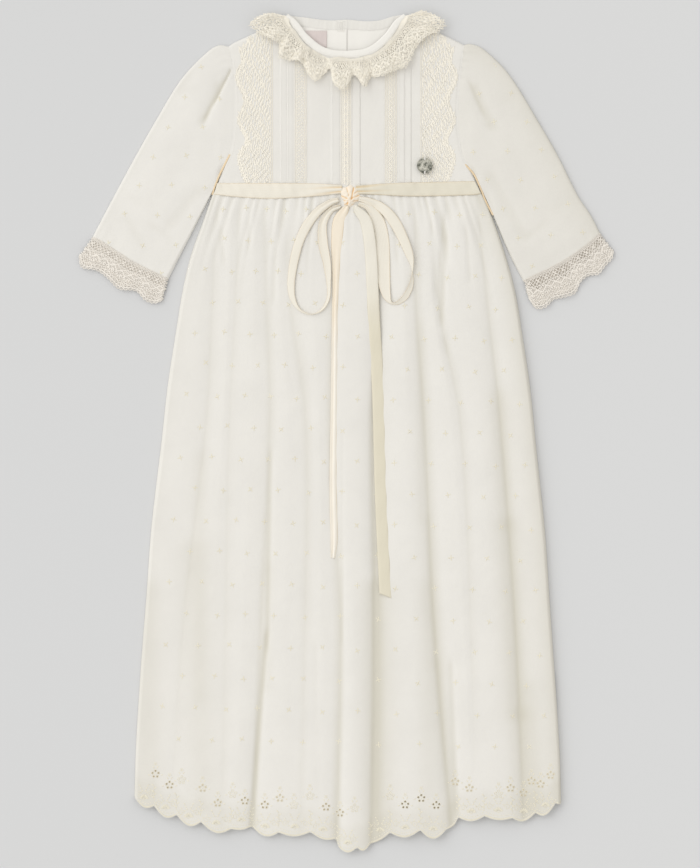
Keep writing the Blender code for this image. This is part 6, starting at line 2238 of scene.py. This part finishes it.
class GOWN_OT_sleeves(bpy.types.Operator):
    """Both flattened sleeves, upper and lower wall."""

    bl_idname = "gown.sleeves"
    bl_label = "Sleeves"

    def execute(self, context):
        cotton = look("cotton batiste")
        for side, curves in SLEEVES:
            front = make_sleeve_front(side, curves, cotton)
            back = make_cloth(f"sleeve_{side}_back_cloth", 30, 50, place_sleeve_back(curves), cotton, THIN)
            finish_piece(front, "cotton", f"sleeve_{side}_front")
            finish_piece(back, "cotton", f"sleeve_{side}_back")
        return {"FINISHED"}


class GOWN_OT_cuffs(bpy.types.Operator):
    """Lace edging of both cuffs."""

    bl_idname = "gown.cuffs"
    bl_label = "Cuff lace"

    def execute(self, context):
        for side, curves in SLEEVES:
            for front in (False, True):
                make_cuff(side, curves, front, look("cuff lace"))
        return {"FINISHED"}


class GOWN_OT_neck(bpy.types.Operator):
    """Neck binding, back neck bands and the gathered lace ruffle."""

    bl_idname = "gown.neck"
    bl_label = "Neck"

    def execute(self, context):
        cotton = look("cotton batiste")
        front = make_neck_band_front(look("cotton lining"))
        start, end = BACK_NECK[0].x + BACK_BAND_INSET, BACK_NECK[-1].x - BACK_BAND_INSET
        left = make_neck_band_back("neck_band_back_left", start, PLACKET_EDGE, True, cotton)
        right = make_neck_band_back("neck_band_back_right", PLACKET_EDGE + 0.1, end, False, cotton)
        ruffle = make_ruffle(look("cotton lace"))
        return {"FINISHED"}


class GOWN_OT_bodice_lace(bpy.types.Operator):
    """Lace panels and insertions on the bodice."""

    bl_idname = "gown.bodice_lace"
    bl_label = "Bodice lace"

    def execute(self, context):
        lace = look("cotton lace")
        panels = [make_lace_panel(f"lace_panel_{side}", sign, lace) for side, sign in (("left", -1), ("right", 1))]
        left, centre, right = (make_insertion(*strip, lace) for strip in INSERTIONS)
        return {"FINISHED"}


class GOWN_OT_bow(bpy.types.Operator):
    """Ribbon belt, bow loops, tails and knot."""

    bl_idname = "gown.bow"
    bl_label = "Belt and bow"

    def execute(self, context):
        ribbon = look("woven ribbon")
        shaded_ribbon = look("ribbon reverse")
        ground = ground_of("bodice_front", "skirt_front", "sleeve_left_front", "sleeve_right_front")
        belt_left = make_belt("belt_left", BELT_LEFT, ground, ribbon)
        belt_right = make_belt("belt_right", BELT_RIGHT, ground, shaded_ribbon)
        tail_left, tail_right, loop_left, loop_right = make_bow(ribbon, look("pale ribbon"), look("turning ribbon"))
        knot = make_knot(look("knotted ribbon"))
        return {"FINISHED"}


class GOWN_OT_embroidery(bpy.types.Operator):
    """Hem embroidery and the sprigs scattered over skirt and sleeves."""

    bl_idname = "gown.embroidery"
    bl_label = "Embroidery"

    def execute(self, context):
        shades = (look("closed eyelet"), look("half open eyelet"), look("open eyelet"))
        make_hem_embroidery(look("sprig floss"), shades)
        make_sprigs(look("sprig floss"))
        return {"FINISHED"}


class GOWN_OT_sewing(bpy.types.Operator):
    """Stitching, blank label and the small charm."""

    bl_idname = "gown.sewing"
    bl_label = "Sewing, label and charm"

    def execute(self, context):
        floss = look("embroidery floss")
        make_sewing(floss, look("underarm seam"))
        make_bar_tack(look("cotton lining"))
        label = make_label(look("label weave"), floss)
        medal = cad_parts["medal"]
        medal.data.materials.clear()
        medal.data.materials.append(look("charm metal"))
        make_charm_details(look("charm metal"), floss)
        return {"FINISHED"}


OPERATORS = (
    GOWN_OT_stage,
    GOWN_OT_skirt,
    GOWN_OT_bodice,
    GOWN_OT_sleeves,
    GOWN_OT_cuffs,
    GOWN_OT_neck,
    GOWN_OT_bodice_lace,
    GOWN_OT_bow,
    GOWN_OT_embroidery,
    GOWN_OT_sewing,
)


class GOWN_PT_panel(bpy.types.Panel):
    """Every group of pieces, in the order that they are made."""

    bl_idname = "GOWN_PT_panel"
    bl_label = "Christening gown"
    bl_space_type = "VIEW_3D"
    bl_region_type = "UI"
    bl_category = "Gown"

    def draw(self, context):
        for operator in OPERATORS:
            self.layout.operator(operator.bl_idname)
        for group in SETTINGS:
            settings = getattr(context.scene, group)
            for name in settings.bl_rna.properties.keys():
                if name not in {"rna_type", "name"}:
                    self.layout.prop(settings, name)


SETTINGS = {
    "gown_cloth": ClothSettings,
    "gown_lace": LaceSettings,
    "gown_ribbon": RibbonSettings,
    "gown_stage": StageSettings,
}


def register():
    for group in SETTINGS.values():
        bpy.utils.register_class(group)
    for operator in OPERATORS:
        bpy.utils.register_class(operator)
    bpy.utils.register_class(GOWN_PT_panel)
    for name, group in SETTINGS.items():
        setattr(bpy.types.Scene, name, PointerProperty(type=group))


def unregister():
    for name in SETTINGS:
        delattr(bpy.types.Scene, name)
    for item in (GOWN_PT_panel, *reversed(OPERATORS), *SETTINGS.values()):
        bpy.utils.unregister_class(item)


def main():
    register()
    for operator in OPERATORS:
        group, name = operator.bl_idname.split(".")
        getattr(getattr(bpy.ops, group), name)()


if __name__ == "__main__":
    main()
